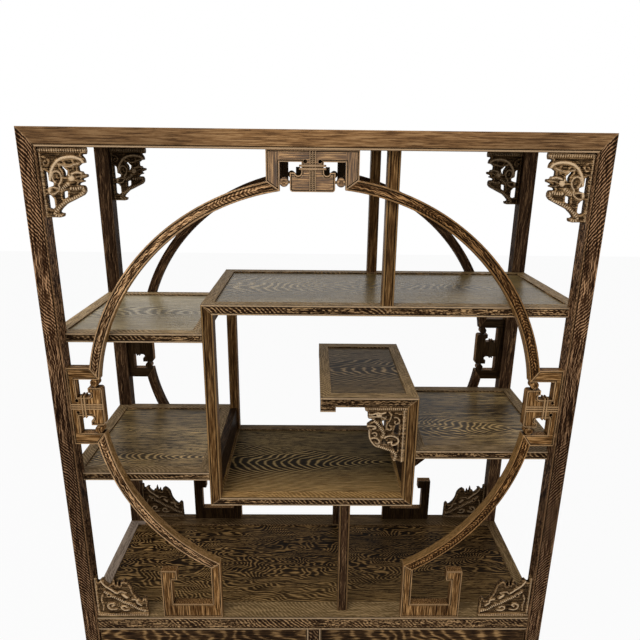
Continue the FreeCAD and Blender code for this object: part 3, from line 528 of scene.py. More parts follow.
# Pale panel wood whose colour is partly painted reflection on the shelf's top
UPPER_LEFT_WOOD_AND_SHEEN = Wood(
    (220, 180, 100), (560, 465, 285), (800, 680, 430), heart=0.05, taper=0.22, jag=0.5, gain=1.2,
    rough=0.27, shine=0.14,
)
PANEL_WOOD = Wood(
    (14, 9, 5), (98, 68, 31), (700, 510, 245), heart=0.04, taper=0.2, rings=2.9, mark=0.5, jag=0.7,
    gain=1.45, cloud=1.5, rough=0.3, shine=0.11,
)
MID_RIGHT_WOOD = Wood(
    (14, 9, 5), (86, 60, 28), (620, 450, 215), heart=0.062, taper=0.125, rings=2.9, mark=0.42,
    jag=0.5, gain=1.3, cloud=1.8, rough=0.3, shine=0.11,
)
RAISED_WOOD = Wood(
    (13, 8, 4), (56, 36, 17), (360, 250, 120), heart=0.08, taper=0.24, rough=0.36, shine=0.04,
)
BASE_PANEL_WOOD = Wood(
    (12, 6, 3), (50, 26, 11), (330, 200, 88), heart=0.03, taper=0.13, rings=3.9, mark=0.4, jag=0.5,
    rough=0.36,
)
BASE_BOARD_WOOD = Wood(
    (10, 5, 2.8), (46, 24, 11), (300, 180, 82), pitch=2.6, length=70, wave=0.8, gain=0.8,
    cloud=1.3, rough=0.4,
)
BOX_WOOD = Wood(
    (8, 5, 2.2), (35, 23, 9), (340, 240, 105), heart=0.045, taper=0.22, roll=0.025, rings=4.1,
    jag=0.4, gain=1.1, rough=0.4, shine=0.02,
)
DECK_WOOD = Wood(
    (6, 3, 1.4), (29, 15.5, 6), (360, 220, 88), heart=0.13, roll=0.10, rings=3.1, mark=0.45,
    jag=1.2, gain=1.4, cloud=1.2, rough=0.38,
)
RING_WOOD = Wood(
    (12, 6, 3), (80, 40, 16), (520, 325, 165), pitch=2.0, length=34, curl=0.8, slant=0.4,
    chevron=422, ripple=0.9, steep=7, close=7, gain=1.2,
)
FRET_WOOD = Wood(
    (28, 12, 4), (145, 69, 22), (490, 285, 120), pitch=1.8, length=44, wave=0.5, edge_wear_and_highlight=0.75,
    gain=0.95,
)
CARVED_WOOD = Wood(
    (10, 5, 2), (160, 88, 37), (460, 300, 150), edge_wear_and_highlight=0.45,
)
INNER_WOOD = Wood(
    (150, 90, 50), (240, 155, 85), (360, 250, 150), rough=0.6, edge_wear_and_highlight=0.1,
)


def dress(node, material):
    """Gives a CAD node its finish."""
    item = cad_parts[node]
    item.data.materials.clear()
    item.data.materials.append(material)


def dress_board(node, wood, axis, seed, *touches, shift=0.0):
    """Finishes one wide board, its heart at its own middle or shifted along the depth."""
    low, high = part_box(node)
    centre = (low + high) / 2 + Vector((0, shift, 0))
    dress(node, wood_finish(node + "_finish", wood, board(axis, centre), seed, *touches))


def dress_all(names, wood, route, seed, *touches):
    material = wood_finish(names[0] + "_finish", wood, route, seed, *touches)
    for name in names:
        dress(name, material)


def moulded(node, run, strength=0.8, gilt=BEAD_HIGHLIGHT):
    """Painted bead highlights and quirk shade along both edges of a node's front and back faces.
    """
    low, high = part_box(node)
    k = "xyz".index(run)
    return beaded(run, [(low[k], 1), (high[k], -1)], high.y, strength=strength, gilt=gilt)


def frame_route(node, axes, border):
    """Mitred-frame grain that fits a node's own box."""
    low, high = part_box(node)
    picks = ["xyz".index(letter) for letter in axes]
    centre = [(low[k] + high[k]) / 2 for k in picks]
    half = [(high[k] - low[k]) / 2 for k in picks]
    return framed(axes, centre, half, border)


# Each shelf's wood, shift of its heart, share of painted light at the front, and the scales of its
# rails' painted top light and shade at the back and at the front
PLAIN = (1.0, 1.0, 1.0)
SHADED_TOP = (0.7, 0.72, 0.8)
SHELF_LOOKS = {
    "upper_right_shelf": (UPPER_RIGHT_WOOD, 0, 0.0, PLAIN, PLAIN),
    "upper_left_shelf": (UPPER_LEFT_WOOD_AND_SHEEN, 0, 0.15, (1.6, 1.65, 1.75), (1.3, 1.35, 1.5)),
    "raised_shelf": (RAISED_WOOD, 0, 0.1, PLAIN, PLAIN),
    "mid_right_shelf": (MID_RIGHT_WOOD, -60 * MM, 0.2, SHADED_TOP, SHADED_TOP),
    "mid_left_shelf": (PANEL_WOOD, -92 * MM, 0.2, SHADED_TOP, SHADED_TOP),
    "box_floor": (BOX_WOOD, -16 * MM, 1.0, (0.2, 0.18, 0.17), (1.25, 1.1, 0.85)),
}


class CabinetSettings(bpy.types.PropertyGroup):
    """Sizes and colours that a user would change."""

    shelf_border: bpy.props.FloatProperty(
        name="Shelf border", description="Width of the rails round each shelf",
        default=24 * MM, unit="LENGTH",
    )
    deck_border: bpy.props.FloatProperty(
        name="Deck border", description="Width of the long rails round the main deck",
        default=45 * MM, unit="LENGTH",
    )
    door_border: bpy.props.FloatProperty(
        name="Door border", description="Width of the stiles and rails of the doors",
        default=48 * MM, unit="LENGTH",
    )
    floor_colour: bpy.props.FloatVectorProperty(
        name="Floor colour", description="Colour of the studio floor and backdrop",
        subtype="COLOR", size=3, default=(0.86, 0.86, 0.86),
    )
    key_power: bpy.props.FloatProperty(
        name="Key light", description="Power of the large soft light at the front left",
        default=58.0,
    )


def settings():
    return bpy.context.scene.cabinet_settings


class CABINET_OT_frame(bpy.types.Operator):
    """Finishes the posts, the top frame and the uprights"""

    bl_idname = "cabinet.frame"
    bl_label = "Posts and rails"

    def execute(self, context):
        inner = [(POST_INNER, 1)]
        bead = beaded("x", inner, POST_FACE, fold=True, strength=0.5, gilt=POST_BEAD_HIGHLIGHT)
        posts = ["post_front_left", "post_front_right"]
        dress_all(posts, POST_WOOD, straight("z", fold=True), 1, bead)
        # The back posts take the darker copy of the wood as painted shade
        dress_all(["post_back_left", "post_back_right"], SHADED_WOOD, straight("z"), 1.4, bead)
        bead = beaded("z", [(TOP_RAIL_LOW, 1)], POST_FACE)
        dress_all(["top_long_rails"], TOP_WOOD, straight("x"), 2, bead)
        dress_all(["top_end_rails"], TOP_WOOD, straight("y"), 3)
        dress_board("top_panel", PANEL_WOOD, "x", 4)
        for seed, side in enumerate(("left", "right", "top"), 5):
            node = side + "_uprights"
            bead = moulded(node, "x", 0.6, GOLDEN_BEAD_HIGHLIGHT)
            dress_all([node], UPRIGHT_WOOD, straight("z"), seed, bead)
        bead = moulded("foot_uprights", "x", 0.4, GOLDEN_BEAD_HIGHLIGHT)
        dress_all(["foot_uprights"], SHADED_WOOD, straight("z"), 8.5, bead)
        # The box cheeks are darkened all over with painted shade
        dress_all(["box_cheeks"], SHADED_WOOD, straight("y"), 6, toned(PAINTED_SHADE_TONE, 0.65))
        return {"FINISHED"}


class CABINET_OT_shelves(bpy.types.Operator):
    """Finishes the shelves and the main deck"""

    bl_idname = "cabinet.shelves"
    bl_label = "Shelves and deck"

    def execute(self, context):
        border = settings().shelf_border
        for seed, (shelf, looks) in enumerate(SHELF_LOOKS.items(), 10):
            node = shelf + "_frame"
            wood, shift, gold, back, front = looks
            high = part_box(node)[1]
            # Painted light and shade on each shelf's rail tops
            top = lit_top(high.z - 0.3 * MM, back, front, high.y)
            route = frame_route(node, "xy", (border, border))
            dress_all([node], RAIL_WOOD, route, seed, top, moulded(node, "z"))
            # Painted light towards the front edge of each shelf's panel
            start = 35 * MM if shelf == "box_floor" else 10 * MM
            touch = front_light(gold, start)
            dress_board(shelf + "_panel", wood, "x", seed + 0.5, touch, shift=shift)
        route = frame_route("deck_rails", "xy", (border, settings().deck_border))
        # Painted shade at the back and painted light at the front of the deck's rail tops
        top = lit_top(DECK_TOP - 0.3 * MM, (0.28, 0.26, 0.25), (0.8, 0.8, 0.8), DECK_FACE)
        bead = moulded("deck_rails", "z")
        # Painted light on the deck's left end rail
        dress_all(["deck_rails"], RAIL_WOOD, route, 20, top, lit_deck_end, bead)
        # Painted light towards the front of the deck's panel
        dress_board("deck_panel", DECK_WOOD, "x", 21, front_light(0.25))
        dress_all(["panel_battens"], FRAME_WOOD, straight("y"), 22)
        return {"FINISHED"}


# Moon gate, drawn about the ring's centre with the front face forward

RING_CENTRE = Vector((-1.0 * MM, 0, 1342.5 * MM))
RING_RADIUS = 432 * MM
RING_WIDTH = 20 * MM
RING_INNER = RING_RADIUS - RING_WIDTH
RING_BAND_HALF = 9.4 * MM
GATE_FRONT = -179 * MM
GATE_BACK = -161 * MM
FRET_LENGTH = 159 * MM
FRET_STEM = 23 * MM
FRET_LOW = 406 * MM
TOP_FRET_SHIFT = -8.5 * MM
FRET_NECK_HALF = 19 * MM
FRET_BAND_HALF = 23.25 * MM
PENDANT_HALF = 38.75 * MM
DISC_RADIUS = 8 * MM
BASE_FRET_STEM = 19.5 * MM
QUARTER = math.pi / 2

# Steps of a worked front, each a width and a rise in millimetres: the bead, groove and band
# along a fret's edges, and the dome and dimple of a disc
FRET_STEPS = ((1.7, 0), (0.35, -2.2), (1.0, 0), (0.35, 1.2))
DISC_STEPS = (
    (0.4, 1.1), (0.7, 0.8), (1.1, 0.5), (1.2, 0.2), (0.7, -0.3), (0.7, -0.9), (0.6, -0.8),
)


def circle_height(radius, x):
    return math.sqrt(radius * radius - x * x)


def fret_joint(x, side):
    """Mitre between a fret's stem and the ring: outer point, inner point."""
    outer = x + side * FRET_LENGTH / 2
    inner = outer - side * FRET_STEM
    return (outer, circle_height(RING_RADIUS, outer)), (inner, circle_height(RING_INNER, inner))


def drawn_board(outline):
    """Board cut to an outline, between the gate's front and back planes."""
    bm = bmesh.new()
    face = bm.faces.new([bm.verts.new((x, GATE_FRONT, z)) for x, z in outline])
    bm.normal_update()
    if face.normal.y > 0:
        face.normal_flip()
    grown = bmesh.ops.extrude_face_region(bm, geom=[face], use_keep_orig=True)
    moved = [v for v in grown["geom"] if isinstance(v, bmesh.types.BMVert)]
    bmesh.ops.translate(bm, verts=moved, vec=(0, GATE_BACK - GATE_FRONT, 0))
    bmesh.ops.recalc_face_normals(bm, faces=bm.faces)
    return bm


def add_object(name, data):
    item = bpy.data.objects.new(name, data)
    bpy.context.scene.collection.objects.link(item)
    return item


def as_object(name, bm):
    mesh = bpy.data.meshes.new(name)
    bm.to_mesh(mesh)
    bm.free()
    return add_object(name, mesh)


def applied(item):
    """Mesh of an object with its modifiers applied; the object itself is removed."""
    graph = bpy.context.evaluated_depsgraph_get()
    mesh = bpy.data.meshes.new_from_object(item.evaluated_get(graph), depsgraph=graph)
    bm = bmesh.new()
    bm.from_mesh(mesh)
    bpy.data.objects.remove(item)
    bpy.data.meshes.remove(mesh)
    return bm


def pin(x, z, radius, front, back, segments=24):
    """Round pin or cutter along the depth."""
    bm = bmesh.new()
    turn = Matrix.Rotation(QUARTER, 4, "X")
    bmesh.ops.create_cone(
        bm, cap_ends=True, segments=segments, radius1=radius, radius2=radius, depth=back - front,
        matrix=Matrix.Translation((x, (front + back) / 2, z)) @ turn,
    )
    return bm


def cut_away(bm, cutters):
    """Cuts pins out of a board."""
    item = as_object("board", bm)
    tools = []
    for cutter in cutters:
        tool = as_object("cutter", cutter)
        tools.append(tool)
        knife = item.modifiers.new("cut", "BOOLEAN")
        knife.object = tool
        knife.solver = "EXACT"
    made = applied(item)
    for tool in tools:
        bpy.data.objects.remove(tool)
    bmesh.ops.remove_doubles(made, verts=made.verts, dist=0.005 * MM)
    bmesh.ops.dissolve_limit(
        made, angle_limit=math.radians(0.5), verts=made.verts, edges=made.edges
    )
    return made


def front_faces(bm):
    return [f for f in bm.faces if f.normal.y < -0.99 and f.calc_center_median().y < -0.17]


def work_front(bm, steps):
    """Insets and lifts the front of a board in steps."""
    faces = front_faces(bm)
    for thickness, depth in steps:
        bmesh.ops.inset_region(
            bm, faces=faces, thickness=thickness * MM, depth=depth * MM, use_boundary=True,
            use_even_offset=True,
        )


def round_edges(bm, edges, offset, segments):
    bmesh.ops.bevel(
        bm, geom=edges, offset=offset, offset_type="OFFSET", segments=segments, profile=0.5,
        affect="EDGES", material=-1, clamp_overlap=True,
    )


def bar(low, high, soften):
    """Slim bar between two corners with softened edges."""
    bm = bmesh.new()
    size = Vector(high) - Vector(low)
    place = Matrix.Translation((Vector(low) + Vector(high)) / 2) @ Matrix.Diagonal((*size, 1))
    bmesh.ops.create_cube(bm, size=1, matrix=place)
    round_edges(bm, bm.edges[:], soften, 3)
    return bm


def join(bm, *others):
    """Adds other bmeshes to the first one."""
    for other in others:
        mesh = bpy.data.meshes.new("part")
        other.to_mesh(mesh)
        other.free()
        bm.from_mesh(mesh)
        bpy.data.meshes.remove(mesh)
    return bm


def domed_disc(x, z):
    """Disc between a pendant and a stem, with a domed front."""
    bm = pin(x, z, DISC_RADIUS, GATE_FRONT + 2.4 * MM, GATE_BACK, 28)
    bm.normal_update()
    work_front(bm, DISC_STEPS)
    return bm


def key_fret(distance, x, bar_height, pendant, beads=False):
    """Key fret that hangs from a member at a distance from the ring's centre."""
    bar_z = distance - bar_height
    pendant_z = FRET_LOW + pendant
    sides = (-1, 1)
    halves = []
    for s in sides:
        outer, inner = fret_joint(x, s)
        neck, tip = x + s * FRET_NECK_HALF, x + s * PENDANT_HALF
        halves.append([
            (outer[0], distance), outer, inner, (inner[0], bar_z), (neck, bar_z),
            (neck, pendant_z), (tip, pendant_z), (tip, FRET_LOW),
        ])
    body = drawn_board(halves[0] + halves[1][::-1])
    corners = [
        e for e in body.edges
        if all(abs(v.co.z - FRET_LOW) < 1e-6 for v in e.verts)
        and abs(e.verts[0].co.x - e.verts[1].co.x) < 1e-6
    ]
    round_edges(body, corners, 5 * MM, 5)
    eyes = [
        pin(x + s * 24.5 * MM, pendant_z, 5.2 * MM, GATE_FRONT - MM, GATE_BACK + MM) for s in sides
    ]
    body = cut_away(body, eyes)
    work_front(body, FRET_STEPS)
    dimples = [
        pin(x + s * 12.4 * MM, bar_z + MM, 3.2 * MM, GATE_FRONT - MM, GATE_FRONT + 5 * MM, 16)
        for s in sides
    ]
    body = cut_away(body, dimples)
    gap = FRET_LENGTH / 2 - FRET_STEM - PENDANT_HALF
    disc_z = FRET_LOW + pendant / 2
    for s in sides:
        edge = x + s * (PENDANT_HALF + gap)
        join(body, domed_disc(edge - s * (DISC_RADIUS - 0.4 * MM), disc_z))
        ends = sorted((edge - s * 12 * MM, edge - s * (gap + 0.5 * MM)))
        low = (ends[0], GATE_FRONT + 2 * MM, disc_z - 2.2 * MM)
        join(body, bar(low, (ends[1], GATE_BACK, disc_z + 2.2 * MM), 0.5 * MM))
    half = 0.8 * MM if beads else 1.3 * MM
    for shift in (-4.6 * MM, 0, 4.6 * MM):
        low = (x + shift - half, GATE_FRONT - 0.1 * MM, FRET_LOW + 0.6 * MM)
        high = (x + shift + half, GATE_FRONT + 2 * MM, distance - 0.6 * MM)
        join(body, bar(low, high, 0.6 * MM))
    count = int((distance - FRET_LOW - 6 * MM) / (3.2 * MM)) if beads else 0
    for k in range(count):
        for shift in (-2.3 * MM, 2.3 * MM):
            bead_z = FRET_LOW + (4.4 + 3.2 * k) * MM
            place = Matrix.Translation((x + shift, GATE_FRONT + 0.3 * MM, bead_z))
            bmesh.ops.create_icosphere(body, subdivisions=1, radius=1.35 * MM, matrix=place)
    band_z = (bar_z + pendant_z) / 2
    for shift in (-2.6 * MM, 2.6 * MM):
        low = (x - FRET_BAND_HALF, GATE_FRONT - 0.9 * MM, band_z + shift - 1.6 * MM)
        high = (x + FRET_BAND_HALF, GATE_BACK, band_z + shift + 1.6 * MM)
        join(body, bar(low, high, 1.1 * MM))
    return body


def place_round_ring(bm, angle):
    """Turns a piece about the ring's axis and moves it to the ring's centre."""
    place = Matrix.Translation(RING_CENTRE) @ Matrix.Rotation(angle, 4, "Y")
    bmesh.ops.transform(bm, matrix=place, verts=bm.verts)
    return bm


def mirrored(bm, axis):
    """Copy of a bmesh, mirrored across the cabinet's middle, with its faces turned outwards."""
    twin = bm.copy()
    scale = [-1 if letter == axis else 1 for letter in "xyz"]
    bmesh.ops.transform(twin, matrix=Matrix.Diagonal((*scale, 1)), verts=twin.verts)
    bmesh.ops.recalc_face_normals(twin, faces=twin.faces)
    return twin


def doubled(bm, axis):
    """Adds a bmesh's mirror image to it."""
    return join(bm, mirrored(bm, axis))


def finished(name, bm, node, material, smooth=30):
    """Makes the piece that stands for a CAD node."""
    item = as_object(name, bm)
    item.data.materials.append(material)
    item.data.shade_smooth()
    item.data.set_sharp_from_angle(angle=math.radians(smooth))
    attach(item, "cabinet")
    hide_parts(node)
    return item


def base_joint(side):
    """Mitre between a fret on the deck and the ring: outer point, inner point."""
    inner = side * RING_RADIUS * 0.45 - 5 * MM - RING_CENTRE.x
    outer = inner + side * BASE_FRET_STEM
    return (outer, -circle_height(RING_RADIUS, outer)), (inner, -circle_height(RING_INNER, inner))


def base_fret(side):
    """Key fret that stands on the deck and carries one end of the ring."""
    (stem, stem_z), (inner, inner_z) = (
        (RING_CENTRE.x + x, RING_CENTRE.z + z) for x, z in base_joint(side)
    )
    outer = side * 320.5 * MM - 5 * MM
    far = outer - side * 21.5 * MM
    hook = far - side * 11.5 * MM
    bar_top, hook_low, hook_top = (DECK_TOP + rise * MM for rise in (34, 98, 120))
    body = drawn_board([
        (inner, DECK_TOP), (outer, DECK_TOP), (outer, hook_top), (hook, hook_top),
        (hook, hook_low), (far, hook_low), (far, bar_top), (stem, bar_top), (stem, stem_z),
        (inner, inner_z),
    ])
    work_front(body, FRET_STEPS)
    return body


# Outline of the ring's section, from its inner edge and its front, in millimetres
RING_SECTION = (
    (0.0, 0.6), (0.6, 0.0), (2.2, 0.0), (2.8, 0.6), (3.1, 2.3), (4.4, 2.3), (4.8, 1.0),
    (7.0, 0.7), (10.0, 0.6), (13.0, 0.7), (15.2, 1.0), (15.6, 2.3), (16.9, 2.3), (17.2, 0.6),
    (17.8, 0.0), (19.4, 0.0), (20.0, 0.6), (20.0, 17.5), (19.5, 18.0), (0.5, 18.0), (0.0, 17.5),
)


def ring_arc(start, end):
    """Moulded arc of the ring between two mitres, each a pair of points about the centre."""
    first = math.atan2(start[0][1], start[0][0])
    last = math.atan2(end[0][1], end[0][0])
    if last < first:
        last += TAU
    margin = 0.09
    bm = bmesh.new()
    ring = [
        bm.verts.new((RING_INNER + a * MM, GATE_FRONT + d * MM, 0)) for a, d in RING_SECTION
    ]
    edges = [bm.edges.new((ring[k - 1], ring[k])) for k in range(len(ring))]
    turn = Matrix.Rotation(-(first - margin), 4, "Y")
    bmesh.ops.transform(bm, matrix=turn, verts=bm.verts)
    sweep = last - first + 2 * margin
    bmesh.ops.spin(
        bm, geom=ring + edges, cent=(0, 0, 0), axis=(0, 1, 0), dvec=(0, 0, 0), angle=-sweep,
        steps=max(8, int(sweep / math.radians(2))), use_merge=False, use_duplicate=False,
    )
    for (outer, inner), keep in ((start, 1), (end, -1)):
        along = Vector((outer[0] - inner[0], 0, outer[1] - inner[1]))
        normal = along.cross(Vector((0, 1, 0))) * -keep
        cut = bmesh.ops.bisect_plane(
            bm, geom=bm.verts[:] + bm.edges[:] + bm.faces[:], dist=1e-6,
            plane_co=(inner[0], 0, inner[1]), plane_no=normal, clear_outer=True,
        )
        rim = [e for e in cut["geom_cut"] if isinstance(e, bmesh.types.BMEdge)]
        bmesh.ops.holes_fill(bm, edges=rim)
    bmesh.ops.recalc_face_normals(bm, faces=bm.faces)
    return bm


def turned_points(points, angle):
    """Points of a mitre turned about the ring's axis, as frets are."""
    cos, sin = math.cos(angle), math.sin(angle)
    return [(x * cos + z * sin, z * cos - x * sin) for x, z in points]


def ring_arcs():
    """The four arcs between the frets, anticlockwise seen from the front."""
    spans = [
        (turned_points(fret_joint(0, -1), QUARTER), fret_joint(TOP_FRET_SHIFT, 1)),
        (fret_joint(TOP_FRET_SHIFT, -1), turned_points(fret_joint(0, 1), -QUARTER)),
        (turned_points(fret_joint(0, -1), -QUARTER), base_joint(-1)),
        (base_joint(1), turned_points(fret_joint(0, 1), QUARTER)),
    ]
    body = bmesh.new()
    for start, end in spans:
        join(body, place_round_ring(ring_arc(start, end), 0))
    return body


class CABINET_OT_gate(bpy.types.Operator):
    """Makes the moon gate: the moulded ring and its key frets, at the front and the back"""

    bl_idname = "cabinet.gate"
    bl_label = "Moon gate"

    def execute(self, context):
        ring_finish = wood_finish("ring_finish", RING_WOOD, round_ring, 30, ring_sides)
        # The back ring takes the darker copy of the wood as painted shade
        back_finish = wood_finish("back_ring_finish", SHADED_WOOD, round_ring, 29)
        arcs = ring_arcs()
        back = mirrored(arcs, "y")
        finished("front_ring", arcs, "front_ring_arcs", ring_finish)
        finished("back_ring", back, "back_ring_arcs", back_finish)
        reach = FRET_LENGTH / 2 - FRET_STEM
        route = keyed("x", "z", TOP_FRET_SHIFT + RING_CENTRE.x, reach)
        pale = toned((0.62, 0.52, 0.44), 0.12)
        across = wood_finish("top_fret_finish", FRET_WOOD, route, 31, pale, unlit_side)
        route = keyed("z", "x", RING_CENTRE.z, reach)
        upright = wood_finish("side_fret_finish", FRET_WOOD, route, 32, unlit_side)
        standing = wood_finish("base_fret_finish", FRET_WOOD, straight("z"), 33, unlit_side)
        top = key_fret(475.5 * MM, TOP_FRET_SHIFT, 20 * MM, 32 * MM, beads=True)
        top = place_round_ring(top, 0)
        doubled(top, "y")
        finished("key_frets_top", top, "top_frets", across)
        sides = place_round_ring(key_fret(469 * MM, 0, 14.5 * MM, 26 * MM), -QUARTER)
        join(sides, place_round_ring(key_fret(471 * MM, 0, 14.5 * MM, 26 * MM), QUARTER))
        doubled(sides, "y")
        finished("key_frets_side", sides, "side_frets", upright)
        low = join(base_fret(-1), base_fret(1))
        doubled(low, "y")
        finished("key_frets_base", low, "base_frets", standing)
        return {"FINISHED"}


# Carving. A stroke is its radius and the spacing of its ribs in millimetres, with its height
# between them, and its points in hundredths of the board or thousandths of the bracket.

UPPER_STROKES = (
    (5, 0.9, 4, (0, 4.5), (100, 4.5)),
    (3, 0.8, 0, (3.5, 10), (3.5, 100)),
    (4.5, 1, 0, (16, 62), (20, 40), (30, 25), (45, 16), (65, 13.5), (80, 14.5), (90, 17.5),
     (93, 21.5)),
    (3.2, 0.85, 0, (40, 24), (60, 28), (75, 24), (84, 22)),
    (9, 1, 0, (66, 43), (64, 44)),
    (2.2, 1.15, 0, (60, 39), (61, 40)),
    (3, 0.95, 0, (66, 37.5), (76, 35), (88, 36)),
    (2.2, 0.8, 0, (75, 42), (85, 40), (96, 39.5)),
    (1.8, 0.75, 0, (70, 46), (80, 48), (90, 47.5)),
    (3, 0.9, 0, (30, 50), (24, 44), (26, 36), (34, 33), (42, 36), (45, 42), (42, 49), (36, 53),
     (38, 56)),
    (1.8, 0.7, 0, (34, 38), (33, 43), (37, 44)),
    (5, 0.95, 3.6, (56, 52), (48, 56), (40, 60), (34, 58)),
    (3, 0.85, 0, (34, 58), (22, 56), (12, 61), (16, 66), (26, 66), (34, 62)),
    (4.2, 1, 4.2, (62, 58), (72, 58.5), (84, 56), (89, 59), (88, 63), (80, 68), (65, 72),
     (48, 77), (36, 83), (25, 90), (20, 96), (30, 98.5), (37, 96)),
    (2.2, 0.7, 0, (50, 20), (55, 24), (52, 30), (56, 36)),
    (2.2, 0.7, 0, (70, 18), (73, 23), (70, 30)),
    (2.4, 0.75, 0, (8, 14), (18, 16), (22, 22), (14, 27), (8, 23), (13, 20)),
)
BRACKET_STROKES = (
    (4.4, 0.9, 4, (0, 30), (1000, 30)),
    (3.6, 0.85, 0, (70, 60), (70, 1000)),
    (3.2, 0.95, 0, (881, 127), (809, 135), (685, 94), (603, 119), (510, 94)),
    (6, 0.95, 0, (680, 145), (620, 150)),
    (2.2, 1.15, 0, (706, 127), (700, 130)),
    (2.6, 0.9, 0, (881, 175), (757, 167), (603, 167), (520, 190)),
    (4.2, 1, 3.8, (788, 224), (685, 289), (561, 419), (520, 475), (561, 540)),
    (3.6, 0.95, 0, (912, 338), (850, 330), (747, 338), (706, 370), (778, 386)),
    (3.2, 0.9, 0, (871, 419), (871, 500), (840, 581), (768, 662), (675, 719)),
    (2.6, 0.8, 0, (448, 289), (489, 338), (458, 386), (376, 419), (335, 354), (396, 321)),
    (3, 0.95, 0, (500, 548), (438, 516), (314, 508), (190, 556), (159, 613), (211, 670),
     (293, 686), (345, 662), (314, 613), (396, 630), (438, 646)),
    (2.8, 0.85, 0, (293, 183), (231, 175), (170, 224), (170, 273), (231, 305), (293, 273),
     (262, 248)),
    (2.4, 0.75, 0, (159, 289), (139, 386), (159, 500)),
    (5, 1, 4, (623, 703), (500, 743), (366, 784), (262, 808), (211, 881), (252, 954)),
    (2.6, 0.85, 0, (396, 824), (345, 905), (293, 962)),
    (2.4, 0.8, 0, (420, 90), (360, 130), (380, 200), (420, 260)),
    (2.6, 0.9, 0, (814, 563), (742, 546), (649, 571), (608, 630), (660, 664), (711, 647)),
    (2.2, 0.85, 0, (800, 470), (742, 450), (680, 480), (700, 520), (750, 510)),
    (2.2, 0.8, 0, (600, 200), (545, 230), (500, 200), (485, 165)),
    (2, 0.75, 0, (440, 710), (470, 660), (530, 660), (520, 700)),
    (2.2, 0.75, 0, (300, 760), (360, 720), (420, 730)),
    (2, 0.7, 0, (240, 400), (220, 450), (260, 480), (300, 450)),
    (2, 0.7, 0, (930, 60), (870, 85), (800, 70), (740, 85), (670, 65)),
    (2, 0.7, 0, (270, 110), (220, 100), (170, 130), (130, 110)),
)
LOWER_STROKES = (
    (5, 0.9, 4, (0, 5), (100, 5)),
    (3, 0.85, 0, (3, 10), (3, 100)),
    (4.4, 1, 4.2, (92, 16), (80, 20), (70, 30), (56, 36), (44, 46), (30, 54), (18, 66)),
    (3.6, 0.9, 0, (86, 30), (78, 36), (80, 44), (70, 46)),
    (3.2, 0.9, 0, (62, 18), (52, 16), (46, 24), (54, 29), (58, 24)),
    (3.2, 0.9, 0, (38, 20), (26, 18), (20, 28), (28, 36), (36, 32), (30, 27)),
    (5.5, 0.95, 0, (60, 50), (54, 56)),
    (2.4, 0.85, 0, (60, 62), (48, 66), (42, 60)),
    (3.6, 0.95, 0, (40, 62), (30, 72), (20, 80), (14, 92)),
    (2.6, 0.8, 0, (12, 16), (14, 30), (10, 44), (14, 56)),
)


def smoothed(points):
    """Rounds a polyline's corners by cutting them twice."""
    points = [np.array(point, float) for point in points]
    for _ in range(2):
        made = [points[0]]
        for first, second in zip(points, points[1:]):
            made += [first * 0.75 + second * 0.25, first * 0.25 + second * 0.75]
        points = made + [points[-1]]
    return points


def carved_height(place, strokes, scale, rim):
    """Height of the carving, from 0 at its ground, at places in millimetres from the corner.

    The scale turns a stroke's points into millimetres. The rim is each place's distance from
    the cut edge of the board.
    """
    height = np.sqrt((1 - ((rim - 2.3) / 2.3) ** 2).clip(0, 1)) * 0.72
    gap = np.full(len(place), 1e9)
    for radius, top, rib, *points in strokes:
        line = [point * scale for point in smoothed(points)]
        best = np.full(len(place), 1e9)
        run = np.zeros(len(place))
        walked = 0.0
        for first, second in zip(line, line[1:]):
            step = second - first
            length = np.hypot(*step)
            share = ((place - first) @ step / max(length * length, 1e-9)).clip(0, 1)
            away = np.linalg.norm(place - first - share[:, None] * step, axis=1)
            nearer = away < best
            best = np.where(nearer, away, best)
            run = np.where(nearer, walked + share * length, run)
            walked += length
        dome = np.sqrt((1 - (best / radius) ** 2).clip(0, 1))
        if rib:
            dome = dome * (1 - 0.4 * np.abs(np.sin(run * math.pi / rib)) ** 3)
        elif radius > 2.7:
            dome = dome * (1 - 0.3 * np.exp(-(((best / radius) - 0.62) / 0.12) ** 2))
        height = np.maximum(height, dome * top)
        gap = np.minimum(gap, (best - radius).clip(0, None))
    hairs = 0.10 + 0.24 * (0.5 + 0.5 * np.cos(gap * TAU / 2.9))
    return np.maximum(height, hairs)


def quarter_board(node, keep):
    """One board of a CAD node, merged into a closed shape."""
    bm = bmesh.new()
    bm.from_mesh(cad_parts[node].data)
    bmesh.ops.delete(bm, geom=[v for v in bm.verts if not keep(v.co)], context="VERTS")
    bmesh.ops.remove_doubles(bm, verts=bm.verts, dist=0.01 * MM)
    return bm


def edge_distances(bm):
    """How far each point is from the board's cut sides, in millimetres."""
    bm.normal_update()
    sides = [v.co for v in bm.verts if abs(v.normal.y) < 0.6]
    tree = kdtree.KDTree(len(sides))
    for k, place in enumerate(sides):
        tree.insert((place.x, 0, place.z), k)
    tree.balance()
    return np.array([tree.find((v.co.x, 0, v.co.z))[2] for v in bm.verts]) / MM


